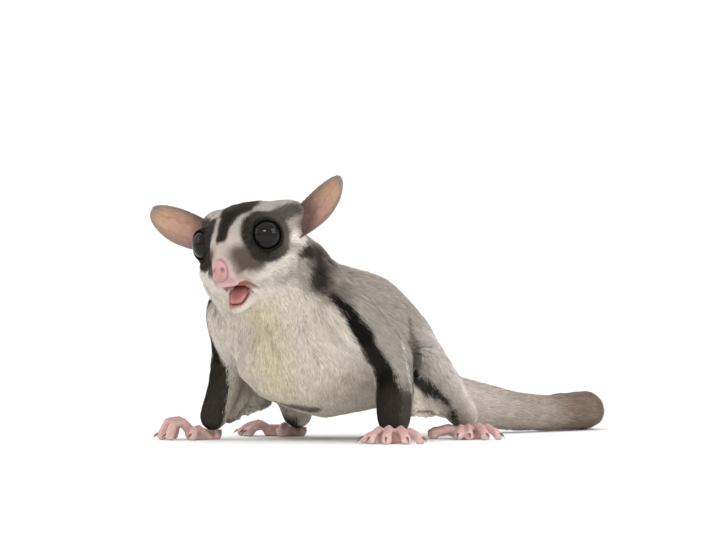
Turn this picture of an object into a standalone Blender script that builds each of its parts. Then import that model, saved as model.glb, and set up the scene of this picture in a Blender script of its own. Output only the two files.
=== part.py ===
"""Sugar glider, life size: standing on all fours, forequarters raised, mouth open.

Metres, +Z up. The animal faces -Y and its left side is +X. The floor is z = 0.
The body is modelled whole, as round beads joined by their hulls and fused, and is
then parted with thin cuts where a person would name its parts. Sizes are in millimetres
and are turned to metres where a shape is made.
"""

import math

import bmesh
import bpy
from mathutils import Matrix, Vector
from mathutils.bvhtree import BVHTree

MM = 0.001

# gaps and fineness
partGap = 0.4        # width of a cut between two nodes of the body
touchGap = 0.35      # room kept by a piece that is fitted over another
bodyVoxel = 0.9     # cell of the fused body
smoothRounds = 7
standShift = (-1.0, -86.6)   # brings the middle of the base to the origin

# head: a, f, u are the distances to its left, forward and up from the middle between the eyes
headPlace = (-3.2, -14.0, 64.9)
headYaw, headPitch, headRoll = 7.0, 15.0, 7.0   # degrees: to its left, down, left side up
eyeRadius = 5.2
eyePlace = (10.5, -0.3, 0.25)
eyeFacing = (0.55, 0.80, 0.22)
lidThickness = 0.95
eyeOpening = 4.6
earBase = (13.0, -15.4, -1.6)
earTip = (34.3, -12.0, 13.6)
earFacing = (0.10, 0.82, 0.56)
earUpper, earLower = 4.4, 7.3      # half widths of its leaf, above and below the middle line
earWidest, earRootShare, earTaper = 0.51, 0.69, 0.43
earCup, earLean, earSetBack = 4.2, -1.4, 1.5
earThickness = 0.8
earRows, earColumns = 15, 13
earRoot = ((-3.5, 4.6, 0.6), (1.5, 4.0, 1.4), (5.0, 2.2, 2.2))   # along it, radius, set back
nostrilPlace, nostrilWay = (1.75, 17.1, -5.7), (0.75, 0.65, 0.1)
nostrilSize = (0.62, 0.95, 1.5)
lidBore = (6.0, 9.0)           # how far out the bore between the lids lies, and its length

# one row for each ring of the skull, nose first: forward, half width, top, bottom
skullRings = (
    (17.6, 1.2, -5.4, -8.3),
    (16.9, 2.1, -4.2, -9.4),
    (14.4, 3.4, -1.6, -11.2),
    (10.5, 5.0, 2.0, -12.0),
    (6.5, 7.3, 5.5, -12.8),
    (1.5, 10.8, 8.7, -14.2),
    (-4.0, 14.8, 10.1, -15.5),
    (-9.5, 17.2, 10.7, -16.5),
    (-15.0, 17.2, 10.3, -16.0),
    (-20.0, 14.0, 7.8, -13.5),
    (-24.5, 8.0, 2.8, -8.0),
)
# whisker pads and cheeks, and the mound that carries the ear: left, forward, up, radius
cheekBeads = ((2.0, 13.2, -9.6, 2.7), (6.2, 3.4, -9.8, 4.8), (11.0, -4.0, -9.4, 6.8))
earMound = ((10.8, -12.8, 2.4, 7.4), (14.2, -15.8, 4.0, 4.7))
# the lower jaw hangs open: forward, half width, top, bottom
jawRings = (
    (12.6, 1.5, -19.2, -20.9),
    (11.4, 2.7, -18.4, -21.6),
    (8.4, 3.8, -16.6, -21.8),
    (5.0, 5.0, -14.2, -21.6),
    (0.0, 7.6, -12.4, -21.0),
    (-6.0, 9.6, -10.5, -19.6),
    (-11.0, 9.6, -10.0, -18.0),
)
tongueBeads = (
    ((0.0, 2.0, -14.8), (3.0, 2.6, 1.5)),
    ((0.0, 6.4, -16.4), (3.1, 2.6, 1.2)),
    ((0.0, 9.6, -18.0), (2.2, 2.0, 0.9)),
)
jawGrowth, jawGap = 1.4, 1.6      # the jaw's sleeve: how loose it is, and its gap in part gaps

# trunk: centre and half sizes of each bead, out to the tips of the fur
neckBeads = (
    ((-3.0, -1.0, 64.0), (14.5, 12.0, 12.5)),
    ((-1.5, 8.0, 57.0), (17.5, 14.5, 14.5)),
    ((0.5, 16.5, 47.5), (20.5, 16.5, 17.0)),
)
throatBeads = (
    ((-5.6, -3.6, 54.2), (18.2, 11.2, 13.0)),
    ((-1.5, 10.0, 42.0), (19.0, 14.0, 14.0)),
)
trunkBeads = (
    ((0.0, 14.0, 34.0), (23.5, 17.0, 23.5)),
    ((1.0, 31.0, 33.5), (25.0, 20.0, 26.8)),
    ((3.0, 49.0, 33.3), (24.0, 20.0, 24.8)),
    ((4.2, 65.0, 28.5), (21.0, 18.0, 18.0)),
    ((6.0, 78.0, 21.5), (12.0, 12.0, 12.0)),
)
tailBeads = (
    ((6.0, 83.0, 20.0), 10.0),
    ((9.0, 100.0, 13.8), 8.5),
    ((13.0, 116.0, 10.6), 8.4),
    ((17.5, 134.0, 7.8), 7.6),
    ((22.0, 153.0, 6.8), 7.1),
    ((24.5, 170.0, 7.2), 7.6),
    ((22.5, 183.0, 7.3), 7.7),
    ((14.5, 192.5, 7.2), 7.5),
    ((3.0, 195.5, 6.8), 7.0),
    ((-9.0, 194.0, 5.6), 5.8),
    ((-17.0, 191.0, 4.4), 4.2),
)

# limbs: centre and radius of each bead, by side, from the trunk outwards
upperArm = {
    "left": (((18.5, 13.0, 42.0), 11.5), ((24.5, 20.0, 35.0), 9.8), ((29.8, 27.0, 28.0), 7.8)),
    "right": (((-20.3, 11.5, 42.3), 11.4), ((-26.2, 18.5, 34.5), 8.6), ((-32.2, 25.0, 27.5), 6.9)),
}
foreArm = {
    "left": (((29.8, 27.0, 28.0), 7.8), ((33.0, 24.0, 16.5), 6.7), ((34.8, 20.8, 7.0), 5.6)),
    "right": (((-32.2, 25.0, 27.5), 6.9), ((-31.9, 20.5, 16.5), 5.9), ((-32.8, 15.5, 7.3), 4.9)),
}
thigh = {
    "left": (((12.3, 66.0, 26.3), 13.8), ((22.0, 57.0, 25.0), 11.4), ((30.0, 49.5, 24.0), 8.8)),
    "right": (((-5.0, 66.0, 26.5), 14.6), ((-15.0, 56.0, 25.0), 12.2), ((-23.5, 44.5, 22.0), 8.8)),
}
shank = {
    "left": (((30.0, 49.5, 24.0), 8.8), ((32.5, 60.5, 15.0), 6.9), ((33.5, 69.5, 7.6), 5.2)),
    "right": (((-23.5, 44.5, 22.0), 8.8), ((-26.0, 55.5, 13.5), 6.6), ((-28.7, 61.3, 7.6), 5.5)),
}
# where a limb is parted from the trunk: how far out its cut starts, and how round that cut is
armCut, legCut = (0.25, 0.85), (0.60, 0.75)
cutGrowth = 1.6
limbBlade = 30.0      # radius of the cut at an elbow or knee
# thin cuts across the body: place, the way that the cut faces, radius; the nose's in head distances
noseCut = ((0.0, 15.5, -5.6), (0.0, 1.0, 0.15), 6.0)
bodyCuts = (
    ((-2.5, 3.0, 58.0), (0.0, -0.84, 0.54), 32.0),
    ((-1.2, 11.0, 50.5), (0.0, -0.72, 0.69), 34.0),
    ((7.5, 92.0, 14.5), (0.12, 0.95, -0.30), 13.0),
)
tailCuts, tailBlade = ((3, 4), (6, 7)), 11.0      # midway between these beads of the tail
# the gliding membrane, folded along the flank from the forearm to the knee
membrane = {
    "left": (((33.0, 27.5, 11.0), (1.9, 3.2, 5.5)), ((31.5, 36.5, 14.4), (2.3, 5.0, 7.8)),
             ((31.0, 45.5, 13.6), (2.0, 5.0, 7.0)), ((30.5, 54.0, 12.4), (1.8, 4.0, 5.4))),
    "right": (((-32.3, 24.0, 9.7), (2.0, 3.6, 5.2)), ((-29.0, 32.0, 14.0), (2.3, 5.0, 7.2)),
              ((-26.0, 39.0, 15.4), (2.0, 4.0, 5.6))),
}

# hands and feet: where the palm lies, the way it points, and how its digits spread
handPlan = {
    "left": {"wrist": (34.9, 20.5, 5.6), "aim": -62.0, "side": 1.0, "arch": 0.9, "hook": 0.5},
    "right": {"wrist": (-33.1, 15.0, 5.6), "aim": -142.0, "side": -1.0, "arch": 1.45, "hook": 0.92},
}
footPlan = {
    "left": {"wrist": (33.6, 70.0, 5.6), "aim": -50.0, "side": 1.0, "arch": 1.0, "hook": 0.5},
    "right": {"wrist": (-29.0, 61.2, 5.6), "aim": -146.0, "side": -1.0, "arch": 1.0, "hook": 0.6},
}
# digits from the inner to the outer one: turn in degrees, length, start across, rise of the
# knuckle, radius
handDigits = (
    (54.0, 7.4, 3.2, 1.4, 1.55),
    (26.0, 9.4, 2.6, 3.0, 1.7),
    (4.0, 10.8, 0.7, 3.3, 1.75),
    (-19.0, 10.8, -1.4, 3.2, 1.75),
    (-44.0, 9.2, -3.1, 2.5, 1.65),
)
footDigits = (
    (80.0, 9.6, 2.8, 1.5, 2.15),
    (20.0, 8.4, 2.8, 2.2, 1.65),
    (6.0, 8.8, 1.1, 2.4, 1.65),
    (-12.0, 10.8, -1.1, 2.7, 1.75),
    (-34.0, 9.6, -3.0, 2.4, 1.65),
)
palmLength, palmHalfWidth, palmThickness = 7.6, 4.7, 2.4
soleLength = 10.5
clawLength = 2.6
clawArc = ((0.08, 0.5, 0.62), (0.45, 0.75, 0.45), (0.85, 0.15, 0.28), (1.0, -0.55, 0.14))
heelSize, heelRise = (2.6, 2.6, 2.2), 2.2
wristRadius, ankleRadius = 3.2, 3.3
soleDip = 0.6        # how far pads reach under the floor before they are cut flat
soleFlat = 0.06      # whatever is this near the floor lies on it

furGrey, furDark = (0.36, 0.31, 0.27), (0.03, 0.024, 0.018)
skinPink, skinEar, skinMouth = (0.62, 0.34, 0.31), (0.42, 0.27, 0.17), (0.52, 0.13, 0.12)
tailDark = (0.12, 0.085, 0.065)
eyeBlack = (0.01, 0.008, 0.007)

# about how many triangles each node keeps
triangleCount = {
    "upper": 400, "lower": 320, "jaw": 600, "neck": 600, "torso": 1600, "tail": 380, "tail_tip": 420,
    "head": 3500, "nose": 280, "tongue": 260, "fold": 320, "paw": 900, "earRoot": 220,
}


def clearScene():
    for old in list(bpy.data.objects):
        bpy.data.objects.remove(old)


def metres(point):
    return Vector(point) * MM


def headMatrix():
    """Turns head distances (left, forward, up) in millimetres into places in metres."""
    turn = (
        Matrix.Rotation(math.radians(headYaw), 4, "Z")
        @ Matrix.Rotation(math.radians(-headRoll), 4, "Y")
        @ Matrix.Rotation(math.radians(headPitch), 4, "X")
    )
    forwardIsMinusY = Matrix.Diagonal((1.0, -1.0, 1.0, 1.0))
    return Matrix.Translation(metres(headPlace)) @ turn @ forwardIsMinusY @ Matrix.Scale(MM, 4)


headFrame = headMatrix()


def inHead(a, f, u):
    return headFrame @ Vector((a, f, u))


def headWay(a, f, u):
    return (headFrame.to_3x3() @ Vector((a, f, u))).normalized()


def material(name, colour, roughness):
    made = bpy.data.materials.new(name)
    made.use_nodes = True
    shader = made.node_tree.nodes["Principled BSDF"]
    shader.inputs["Base Color"].default_value = (*colour, 1.0)
    shader.inputs["Roughness"].default_value = roughness
    shader.inputs["Metallic"].default_value = 0.0
    return made


def objectFrom(name, bm):
    """A new object from a bmesh whose faces all point outwards."""
    bmesh.ops.recalc_face_normals(bm, faces=bm.faces)
    mesh = bpy.data.meshes.new(name)
    bm.to_mesh(mesh)
    bm.free()
    made = bpy.data.objects.new(name, mesh)
    bpy.context.scene.collection.objects.link(made)
    return made


def addBead(bm, centre, size, detail=2):
    """A round or egg-shaped bead; size is a radius or the three half sizes."""
    sizes = (size,) * 3 if isinstance(size, (int, float)) else size
    place = Matrix.Translation(metres(centre)) @ Matrix.Diagonal((*[s * MM for s in sizes], 1.0))
    return bmesh.ops.create_icosphere(bm, subdivisions=detail, radius=1.0, matrix=place)["verts"]


def hullOf(bm, beads, detail=2):
    """One closed hull round all these beads, added to bm."""
    piece = bmesh.new()
    for centre, size in beads:
        addBead(piece, centre, size, detail)
    made = bmesh.ops.convex_hull(piece, input=piece.verts)
    inside = {v for v in made["geom_interior"] if isinstance(v, bmesh.types.BMVert)}
    bmesh.ops.delete(piece, geom=list(inside), context="VERTS")
    mesh = bpy.data.meshes.new("hull")
    piece.to_mesh(mesh)
    piece.free()
    bm.from_mesh(mesh)
    bpy.data.meshes.remove(mesh)


def beadChain(bm, beads):
    for pair in zip(beads, beads[1:]):
        hullOf(bm, pair)


def ringLoft(bm, rings, toWorld, sides=28, squareness=0.88):
    """A closed form through upright rings, each given as forward, half width, top and bottom."""
    loops = []
    for forward, halfWidth, top, bottom in rings:
        middle, half = (top + bottom) / 2, (top - bottom) / 2
        ring = []
        for k in range(sides):
            angle = 2 * math.pi * k / sides
            c, s = math.cos(angle), math.sin(angle)
            across = halfWidth * math.copysign(abs(c) ** squareness, c)
            height = middle + half * math.copysign(abs(s) ** squareness, s)
            ring.append(bm.verts.new(toWorld @ Vector((across, forward, height))))
        loops.append(ring)
    edges = [[bm.edges.new((r[k - 1], r[k])) for k in range(sides)] for r in loops]
    for near, far in zip(edges, edges[1:]):
        bmesh.ops.bridge_loops(bm, edges=near + far)
    for ring in (loops[0], loops[-1]):
        bm.faces.new(ring)


def evaluated(obj):
    """Applies the modifiers of obj."""
    graph = bpy.context.evaluated_depsgraph_get()
    graph.update()
    made = bpy.data.meshes.new_from_object(obj.evaluated_get(graph))
    old = obj.data
    obj.modifiers.clear()
    obj.data = made
    bpy.data.meshes.remove(old)
    return obj


def fuse(obj, voxel, rounds):
    """Fuses overlapping closed forms into one skin and rounds the creases between them."""
    remesh = obj.modifiers.new("fuse", "REMESH")
    remesh.mode = "VOXEL"
    remesh.voxel_size = voxel * MM
    remesh.adaptivity = 0.0
    soften = obj.modifiers.new("soften", "SMOOTH")
    soften.factor = 0.5
    soften.iterations = rounds
    return evaluated(obj)


def trimFlaps(mesh):
    """Drops stray faces that hang on by one edge, and says whether the rest is closed."""
    bm = bmesh.new()
    bm.from_mesh(mesh)
    for _ in range(4):
        flaps = [f for f in bm.faces if sum(e.is_boundary for e in f.edges) > 1]
        bmesh.ops.delete(bm, geom=flaps, context="FACES")
    closed = all(edge.is_manifold for edge in bm.edges) and all(v.is_manifold for v in bm.verts)
    if closed:
        bmesh.ops.recalc_face_normals(bm, faces=bm.faces)
        bm.to_mesh(mesh)
    bm.free()
    return closed


def thin(obj, triangles):
    """Collapses obj to about this many triangles; short edges go first where that leaves it open."""
    dense = obj.data
    dense.calc_loop_triangles()
    share = triangles / len(dense.loop_triangles)
    if share >= 1.0:
        return obj
    for shortest in (0.0, 0.03, 0.06, 0.1, 0.15):
        bm = bmesh.new()
        bm.from_mesh(dense)
        bmesh.ops.dissolve_degenerate(bm, dist=shortest * MM, edges=bm.edges)
        obj.data = bpy.data.meshes.new(obj.name)
        bm.to_mesh(obj.data)
        bm.free()
        fewer = obj.modifiers.new("thin", "DECIMATE")
        fewer.ratio = share
        fewer.use_collapse_triangulate = True
        evaluated(obj)
        if trimFlaps(obj.data):
            return obj
    raise RuntimeError(f"{obj.name} can't be thinned to {triangles}")


def boolean(obj, cutters, operation, solver="MANIFOLD"):
    """Joins or cuts obj with the cutters, applies it and removes them."""
    step = obj.modifiers.new("boolean", "BOOLEAN")
    step.operation = operation
    step.solver = solver
    if len(cutters) == 1:
        step.object = cutters[0]
        evaluated(obj)
        bpy.data.objects.remove(cutters[0])
        return obj
    group = bpy.data.collections.new("cutters")
    for cutter in cutters:
        for users in list(cutter.users_collection):
            users.objects.unlink(cutter)
        group.objects.link(cutter)
    bpy.context.scene.collection.children.link(group)
    step.operand_type = "COLLECTION"
    step.collection = group
    evaluated(obj)
    for cutter in list(cutters):
        bpy.data.objects.remove(cutter)
    bpy.data.collections.remove(group)
    return obj


def copied(obj):
    made = obj.copy()
    made.data = obj.data.copy()
    bpy.context.scene.collection.objects.link(made)
    return made


def grownCopy(obj, gap):
    """A copy of obj whose surface stands out by the gap."""
    made = copied(obj)
    push = made.modifiers.new("grow", "DISPLACE")
    push.strength = gap * MM
    push.mid_level = 0.0
    return evaluated(made)


def islands(obj):
    """The closed surfaces of obj as separate bmeshes, largest first by number of faces."""
    bm = bmesh.new()
    bm.from_mesh(obj.data)
    left = set(bm.faces)
    groups = []
    while left:
        todo = [left.pop()]
        found = set(todo)
        while todo:
            for edge in todo.pop().edges:
                for face in edge.link_faces:
                    if face in left:
                        left.discard(face)
                        found.add(face)
                        todo.append(face)
        groups.append(found)
    groups.sort(key=len, reverse=True)
    made = []
    for group in groups:
        if len(group) < 8:
            continue
        copy = bmesh.new()
        twin = {}
        for face in group:
            corners = []
            for vert in face.verts:
                if vert not in twin:
                    twin[vert] = copy.verts.new(vert.co)
                corners.append(twin[vert])
            copy.faces.new(corners)
        copy.normal_update()
        made.append(copy)
    bm.free()
    return made


def keepLargest(obj):
    """Keeps only the largest closed surface of obj, which drops scraps left by a cut."""
    parts = islands(obj)
    parts[0].to_mesh(obj.data)
    for part in parts:
        part.free()
    return obj


def disc(centre, normal, radius, thickness=partGap, sides=40):
    """A thin round blade that parts two nodes."""
    bm = bmesh.new()
    turn = Vector(normal).to_track_quat("Z", "Y").to_matrix().to_4x4()
    bmesh.ops.create_cone(
        bm, cap_ends=True, segments=sides, radius1=radius * MM, radius2=radius * MM,
        depth=thickness * MM, matrix=Matrix.Translation(Vector(centre)) @ turn,
    )
    return objectFrom("blade", bm)


def rod(centre, normal, radius, length, sides=32):
    return disc(centre, normal, radius, length, sides)


def ball(centre, radius, detail=3):
    bm = bmesh.new()
    place = Matrix.Translation(Vector(centre))
    bmesh.ops.create_icosphere(bm, subdivisions=detail, radius=radius * MM, matrix=place)
    return objectFrom("ball", bm)


def between(start, end, share):
    return Vector(start).lerp(Vector(end), share)


def eyeCentre(side):
    a, f, u = eyePlace
    return inHead(side * a, f, u)


def eyeWay(side):
    a, f, u = eyeFacing
    return headWay(side * a, f, u)


def floorBlock():
    """Everything under the floor, which gives soles and the tail small flats at one level."""
    bm = bmesh.new()
    size = Matrix.Diagonal((0.6, 0.6, 0.05, 1.0))
    bmesh.ops.create_cube(bm, size=1.0, matrix=Matrix.Translation((0.0, 0.05, -0.025)) @ size)
    return objectFrom("floor", bm)


def wholeBody():
    """The fused body: skull, jaw, neck, trunk, limbs and tail."""
    bm = bmesh.new()
    ringLoft(bm, skullRings, headFrame)
    ringLoft(bm, jawRings, headFrame)
    for side in (1, -1):
        bmesh.ops.create_icosphere(
            bm, subdivisions=3, radius=(eyeRadius + lidThickness) * MM,
            matrix=Matrix.Translation(eyeCentre(side)),
        )
        for a, f, u, radius in cheekBeads:
            bmesh.ops.create_icosphere(
                bm, subdivisions=3, radius=radius * MM,
                matrix=Matrix.Translation(inHead(side * a, f, u)),
            )
    for sign in (1, -1):
        beads = [(inHead(sign * a, f, u) / MM, r) for a, f, u, r in earMound]
        beadChain(bm, beads)
    beadChain(bm, neckBeads)
    beadChain(bm, throatBeads)
    beadChain(bm, trunkBeads)
    beadChain(bm, tailBeads)
    for limb in (upperArm, foreArm, thigh, shank):
        for beads in limb.values():
            beadChain(bm, beads)
    body = fuse(objectFrom("body", bm), bodyVoxel, smoothRounds)
    return boolean(body, [floorBlock()], "DIFFERENCE")


def axialBlades():
    """The thin cuts that part the head, neck, torso and lengths of tail."""
    place, way, radius = noseCut
    made = [disc(inHead(*place), headWay(*way), radius)]
    for place, way, radius in bodyCuts:
        made.append(disc(metres(place), way, radius))
    for start, end in tailCuts:
        a, b = metres(tailBeads[start][0]), metres(tailBeads[end][0])
        made.append(disc((a + b) / 2, b - a, tailBlade))
    return made


def limbSleeve(beads, cut, grow):
    """A loose sleeve round a limb, from inside the trunk down past its end."""
    share, roundness = cut
    (first, radius), (second, _) = beads[0], beads[1]
    start = (tuple(between(first, second, share)), radius * roundness + grow)
    bm = bmesh.new()
    beadChain(bm, (start,) + tuple((c, r + grow) for c, r in beads[1:]))
    return thin(fuse(objectFrom("sleeve", bm), 1.6, 2), 1500)


def jawSleeve(grow):
    bm = bmesh.new()
    ends = {0: grow, len(jawRings) - 1: -grow}
    rings = [(f + ends.get(k, 0.0), w + grow, t + 0.5 * grow, b - grow)
             for k, (f, w, t, b) in enumerate(jawRings)]
    ringLoft(bm, rings, headFrame)
    return objectFrom("sleeve", bm)


def takeOut(body, sleeve, wider):
    """Parts what lies in the sleeve from the body, with a gap all round it."""
    part = boolean(copied(body), [sleeve], "INTERSECT")
    boolean(body, [wider], "DIFFERENCE")
    return part


def bend(beads):
    """A blade across the joint between two lengths of a limb."""
    middle, joint, end = beads
    middle, joint, end = metres(middle), metres(joint), metres(end)
    way = (middle - joint).normalized() - (end - joint).normalized()
    return disc(joint, way, limbBlade)


def encloses(part, point):
    """Whether a point lies in a closed surface: a ray from it crosses an odd number of faces."""
    tree = BVHTree.FromBMesh(part)
    way = Vector((0.31, 0.42, 0.85)).normalized()
    crossings = 0
    place = tree.ray_cast(point, way)[0]
    while place is not None:
        crossings += 1
        place = tree.ray_cast(place + way * 0.001 * MM, way)[0]
    return crossings % 2 == 1


def named(parts, seeds):
    """Names each closed surface by the seed point that lies in it."""
    nodes = {}
    for part in parts:
        found = [name for name, (point, _) in seeds.items() if encloses(part, point)]
        if found:
            nodes[found[0]] = objectFrom(found[0], part)
        else:
            part.free()
    missing = sorted(set(seeds) - set(nodes))
    if missing:
        raise RuntimeError(f"no node found for {missing}")
    for name, made in nodes.items():
        if seeds[name][1]:
            thin(made, seeds[name][1])
    return nodes


def partBody(body):
    """Cuts the whole body and returns its nodes by name."""
    nodes = {}
    limbs = []
    for side in ("left", "right"):
        limbs += [
            (upperArm[side] + foreArm[side][1:], armCut, "upper_arm_" + side, "forearm_" + side),
            (thigh[side] + shank[side][1:], legCut, "thigh_" + side, "shank_" + side),
        ]
    for beads, cut, upper, lower in limbs:
        limb = takeOut(body, limbSleeve(beads, cut, cutGrowth),
                       limbSleeve(beads, cut, cutGrowth + partGap))
        boolean(limb, [bend([beads[k][0] for k in (1, 2, 3)])], "DIFFERENCE")
        seeds = {upper: (metres(beads[1][0]), triangleCount["upper"]),
                 lower: (metres(beads[3][0]), triangleCount["lower"])}
        nodes.update(named(islands(limb), seeds))
        bpy.data.objects.remove(limb)
    jaw = takeOut(body, jawSleeve(jawGrowth), jawSleeve(jawGrowth + jawGap * partGap))
    jaw.name = "lower_jaw"
    nodes["lower_jaw"] = keepLargest(jaw)
    boolean(body, axialBlades(), "DIFFERENCE")
    seeds = {
        "nose": (inHead(0.0, 16.6, -5.8), None),
        "head": (inHead(0.0, -6.0, -1.0), None),
        "neck": (metres(neckBeads[1][0]), triangleCount["neck"]),
        "torso": (metres(trunkBeads[2][0]), triangleCount["torso"]),
        "tail_base": (metres(tailBeads[2][0]), triangleCount["tail"]),
        "tail_middle": (metres(tailBeads[5][0]), triangleCount["tail"]),
        "tail_tip": (metres(tailBeads[8][0]), triangleCount["tail_tip"]),
    }
    nodes.update(named(islands(body), seeds))
    bpy.data.objects.remove(body)
    return nodes


def fold(name, beads, body):
    """A flat roll of loose skin that lies along the flank."""
    bm = bmesh.new()
    beadChain(bm, beads)
    made = fuse(objectFrom(name, bm), 0.8, 3)
    boolean(made, [grownCopy(body, touchGap)], "DIFFERENCE")
    return thin(keepLargest(made), triangleCount["fold"])


def eye(name, side):
    bm = bmesh.new()
    turn = eyeWay(side).to_track_quat("Z", "Y").to_matrix().to_4x4()
    bmesh.ops.create_uvsphere(
        bm, u_segments=18, v_segments=11, radius=eyeRadius * MM,
        matrix=Matrix.Translation(eyeCentre(side)) @ turn,
    )
    return objectFrom(name, bm)


def carveHead(head):
    """Sockets, the round openings between the lids, and room for the tongue."""
    cutters = []
    for side in (1, -1):
        cutters.append(ball(eyeCentre(side), eyeRadius + touchGap))
        out = eyeCentre(side) + eyeWay(side) * lidBore[0] * MM
        cutters.append(rod(out, eyeWay(side), eyeOpening, lidBore[1]))
    boolean(head, cutters, "DIFFERENCE")
    return keepLargest(head)


def carveNose(nose):
    """Two nostrils, each a short slanting pit at the side of the nose."""
    cutters = []
    for side in (1, -1):
        bm = bmesh.new()
        a, f, u = nostrilWay
        turn = headWay(side * a, f, u).to_track_quat("Z", "Y").to_matrix().to_4x4()
        shape = Matrix.Diagonal((*[size * MM for size in nostrilSize], 1.0))
        a, f, u = nostrilPlace
        place = Matrix.Translation(inHead(side * a, f, u))
        bmesh.ops.create_icosphere(bm, subdivisions=2, radius=1.0, matrix=place @ turn @ shape)
        cutters.append(objectFrom("nostril", bm))
    boolean(nose, cutters, "DIFFERENCE")
    return keepLargest(nose)


def tongue():
    bm = bmesh.new()
    beads = [(inHead(*centre) / MM, size) for centre, size in tongueBeads]
    beadChain(bm, beads)
    made = fuse(objectFrom("tongue", bm), 0.6, 3)
    return thin(made, triangleCount["tongue"])


def earLength():
    return (Vector(earTip) - Vector(earBase)).length


def earPoint(along, across):
    """A point of the ear's leaf: along from root to tip, across from -1, its upper edge, to 1."""
    if along < earWidest:
        swell = math.sin(0.5 * math.pi * along / earWidest)
        share = earRootShare + (1.0 - earRootShare) * swell
    else:
        share = math.cos(0.5 * math.pi * (along - earWidest) / (1.0 - earWidest)) ** earTaper
    half = share * (earLower if across > 0 else earUpper)
    cup = (earCup * (1.0 - along) ** 1.3 + 1.1) * share
    lean = earLean * math.sin(math.pi * along)
    return Vector((half * across, earLength() * along, cup * across * across + lean - earSetBack))


def earMatrix(side):
    """The ear's own axes: x across to its outer lower edge, y along, z to the face it shows."""
    base, tip = Vector(earBase), Vector(earTip)
    along = (tip - base).normalized()
    facing = Vector(earFacing)
    facing = (facing - facing.dot(along) * along).normalized()
    across = along.cross(facing)
    if across.z > 0:
        across = -across
    axes = Matrix((across, along, facing)).transposed().to_4x4()
    mirror = Matrix.Diagonal((side, 1.0, 1.0, 1.0))
    return headFrame @ mirror @ Matrix.Translation(base) @ axes


def ear(name, side, head):
    """A thin cupped leaf on a short root, fitted to the head."""
    bm = bmesh.new()
    bmesh.ops.create_grid(bm, x_segments=earColumns - 1, y_segments=earRows - 1, size=1.0)
    for vert in bm.verts:
        vert.co = earPoint(0.5 * (vert.co.y + 1.0) * 0.995, vert.co.x)
    bmesh.ops.solidify(bm, geom=list(bm.faces), thickness=earThickness)
    bmesh.ops.remove_doubles(bm, verts=bm.verts, dist=0.02)
    bm.transform(earMatrix(side))
    leaf = objectFrom(name, bm)
    bm = bmesh.new()
    base = Vector(earBase)
    out = (Vector(earTip) - base).normalized()
    beads = []
    for step, radius, back in earRoot:
        a, f, u = base + out * step
        beads.append((inHead(side * a, f - back, u) / MM, radius))
    beadChain(bm, beads)
    root = fuse(objectFrom("root", bm), 0.8, 2)
    thin(root, triangleCount["earRoot"])
    made = boolean(leaf, [root], "UNION", "EXACT")
    boolean(made, [grownCopy(head, touchGap)], "DIFFERENCE", "EXACT")
    return keepLargest(made)


def digit(bm, start, turn, length, rise, radius, plan, claw=True):
    """A finger or toe: it rises to its knuckle, comes down to its pad and ends in a hooked claw."""
    heading = math.radians(plan["aim"] + turn)
    way = Vector((math.cos(heading), math.sin(heading), 0.0))
    up = Vector((0.0, 0.0, 1.0))
    points = (
        (start, radius * 1.15),
        (start + way * length * 0.45 + up * rise, radius * 0.98),
        (start + way * length * 0.82 + up * rise * plan["hook"], radius * 0.9),
        (start + way * length + up * (radius * 1.12 - soleDip - start.z), radius * 1.12),
    )
    for pair in zip(points, points[1:]):
        hullOf(bm, pair, detail=1)
    if claw:
        tip = points[-1][0]
        arc = [(tip + way * (out * clawLength) + up * above, wide) for out, above, wide in clawArc]
        for pair in zip(arc, arc[1:]):
            hullOf(bm, pair, detail=1)


def paw(name, plan, digits, length, halfWidth, wristBeads, limb, thumbClaw):
    """A hand or foot: palm, pads, digits and claws in one closed body, cut clear of its limb."""
    wrist = Vector(plan["wrist"])
    aim, side = plan["aim"], plan["side"]
    way = Vector((math.cos(math.radians(aim)), math.sin(math.radians(aim)), 0.0))
    left = Vector((-way.y, way.x, 0.0)) * -side
    bm = bmesh.new()
    heel = wrist + Vector((0.0, 0.0, heelRise - soleDip - wrist.z)) - way
    front = heel + way * length
    front.z = palmThickness - soleDip
    hullOf(bm, wristBeads + ((heel, heelSize),), detail=2)
    hullOf(bm, (
        (heel, heelSize),
        (front - left * halfWidth * 0.62, palmThickness * 0.95),
        (front + left * halfWidth * 0.62, palmThickness * 0.95),
    ), detail=2)
    for number, (turn, reach, across, rise, radius) in enumerate(digits):
        start = front + left * across * 0.9 - way * 0.8
        start.z = 1.6
        if number == 0:
            start = heel + way * length * 0.45 + left * across * 0.9
            start.z = 1.7
        lift = rise * plan["arch"]
        digit(bm, start, turn * -side, reach, lift, radius, plan, thumbClaw or number > 0)
    made = fuse(objectFrom(name, bm), 0.42, 2)
    boolean(made, [floorBlock()], "DIFFERENCE")
    boolean(made, [grownCopy(limb, touchGap)], "DIFFERENCE")
    return thin(keepLargest(made), triangleCount["paw"])


def finish(nodes, looks):
    stance = bpy.data.objects.new("stance", None)
    bpy.context.scene.collection.objects.link(stance)
    stance.location = (standShift[0] * MM, standShift[1] * MM, 0.0)
    for name, made in nodes.items():
        for vert in made.data.vertices:
            if vert.co.z < soleFlat * MM:
                vert.co.z = 0.0
        made.data.materials.clear()
        made.data.materials.append(looks[name])
        made.parent = stance
        for face in made.data.polygons:
            face.use_smooth = True
        made.data.set_sharp_from_angle(angle=math.radians(50))


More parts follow.
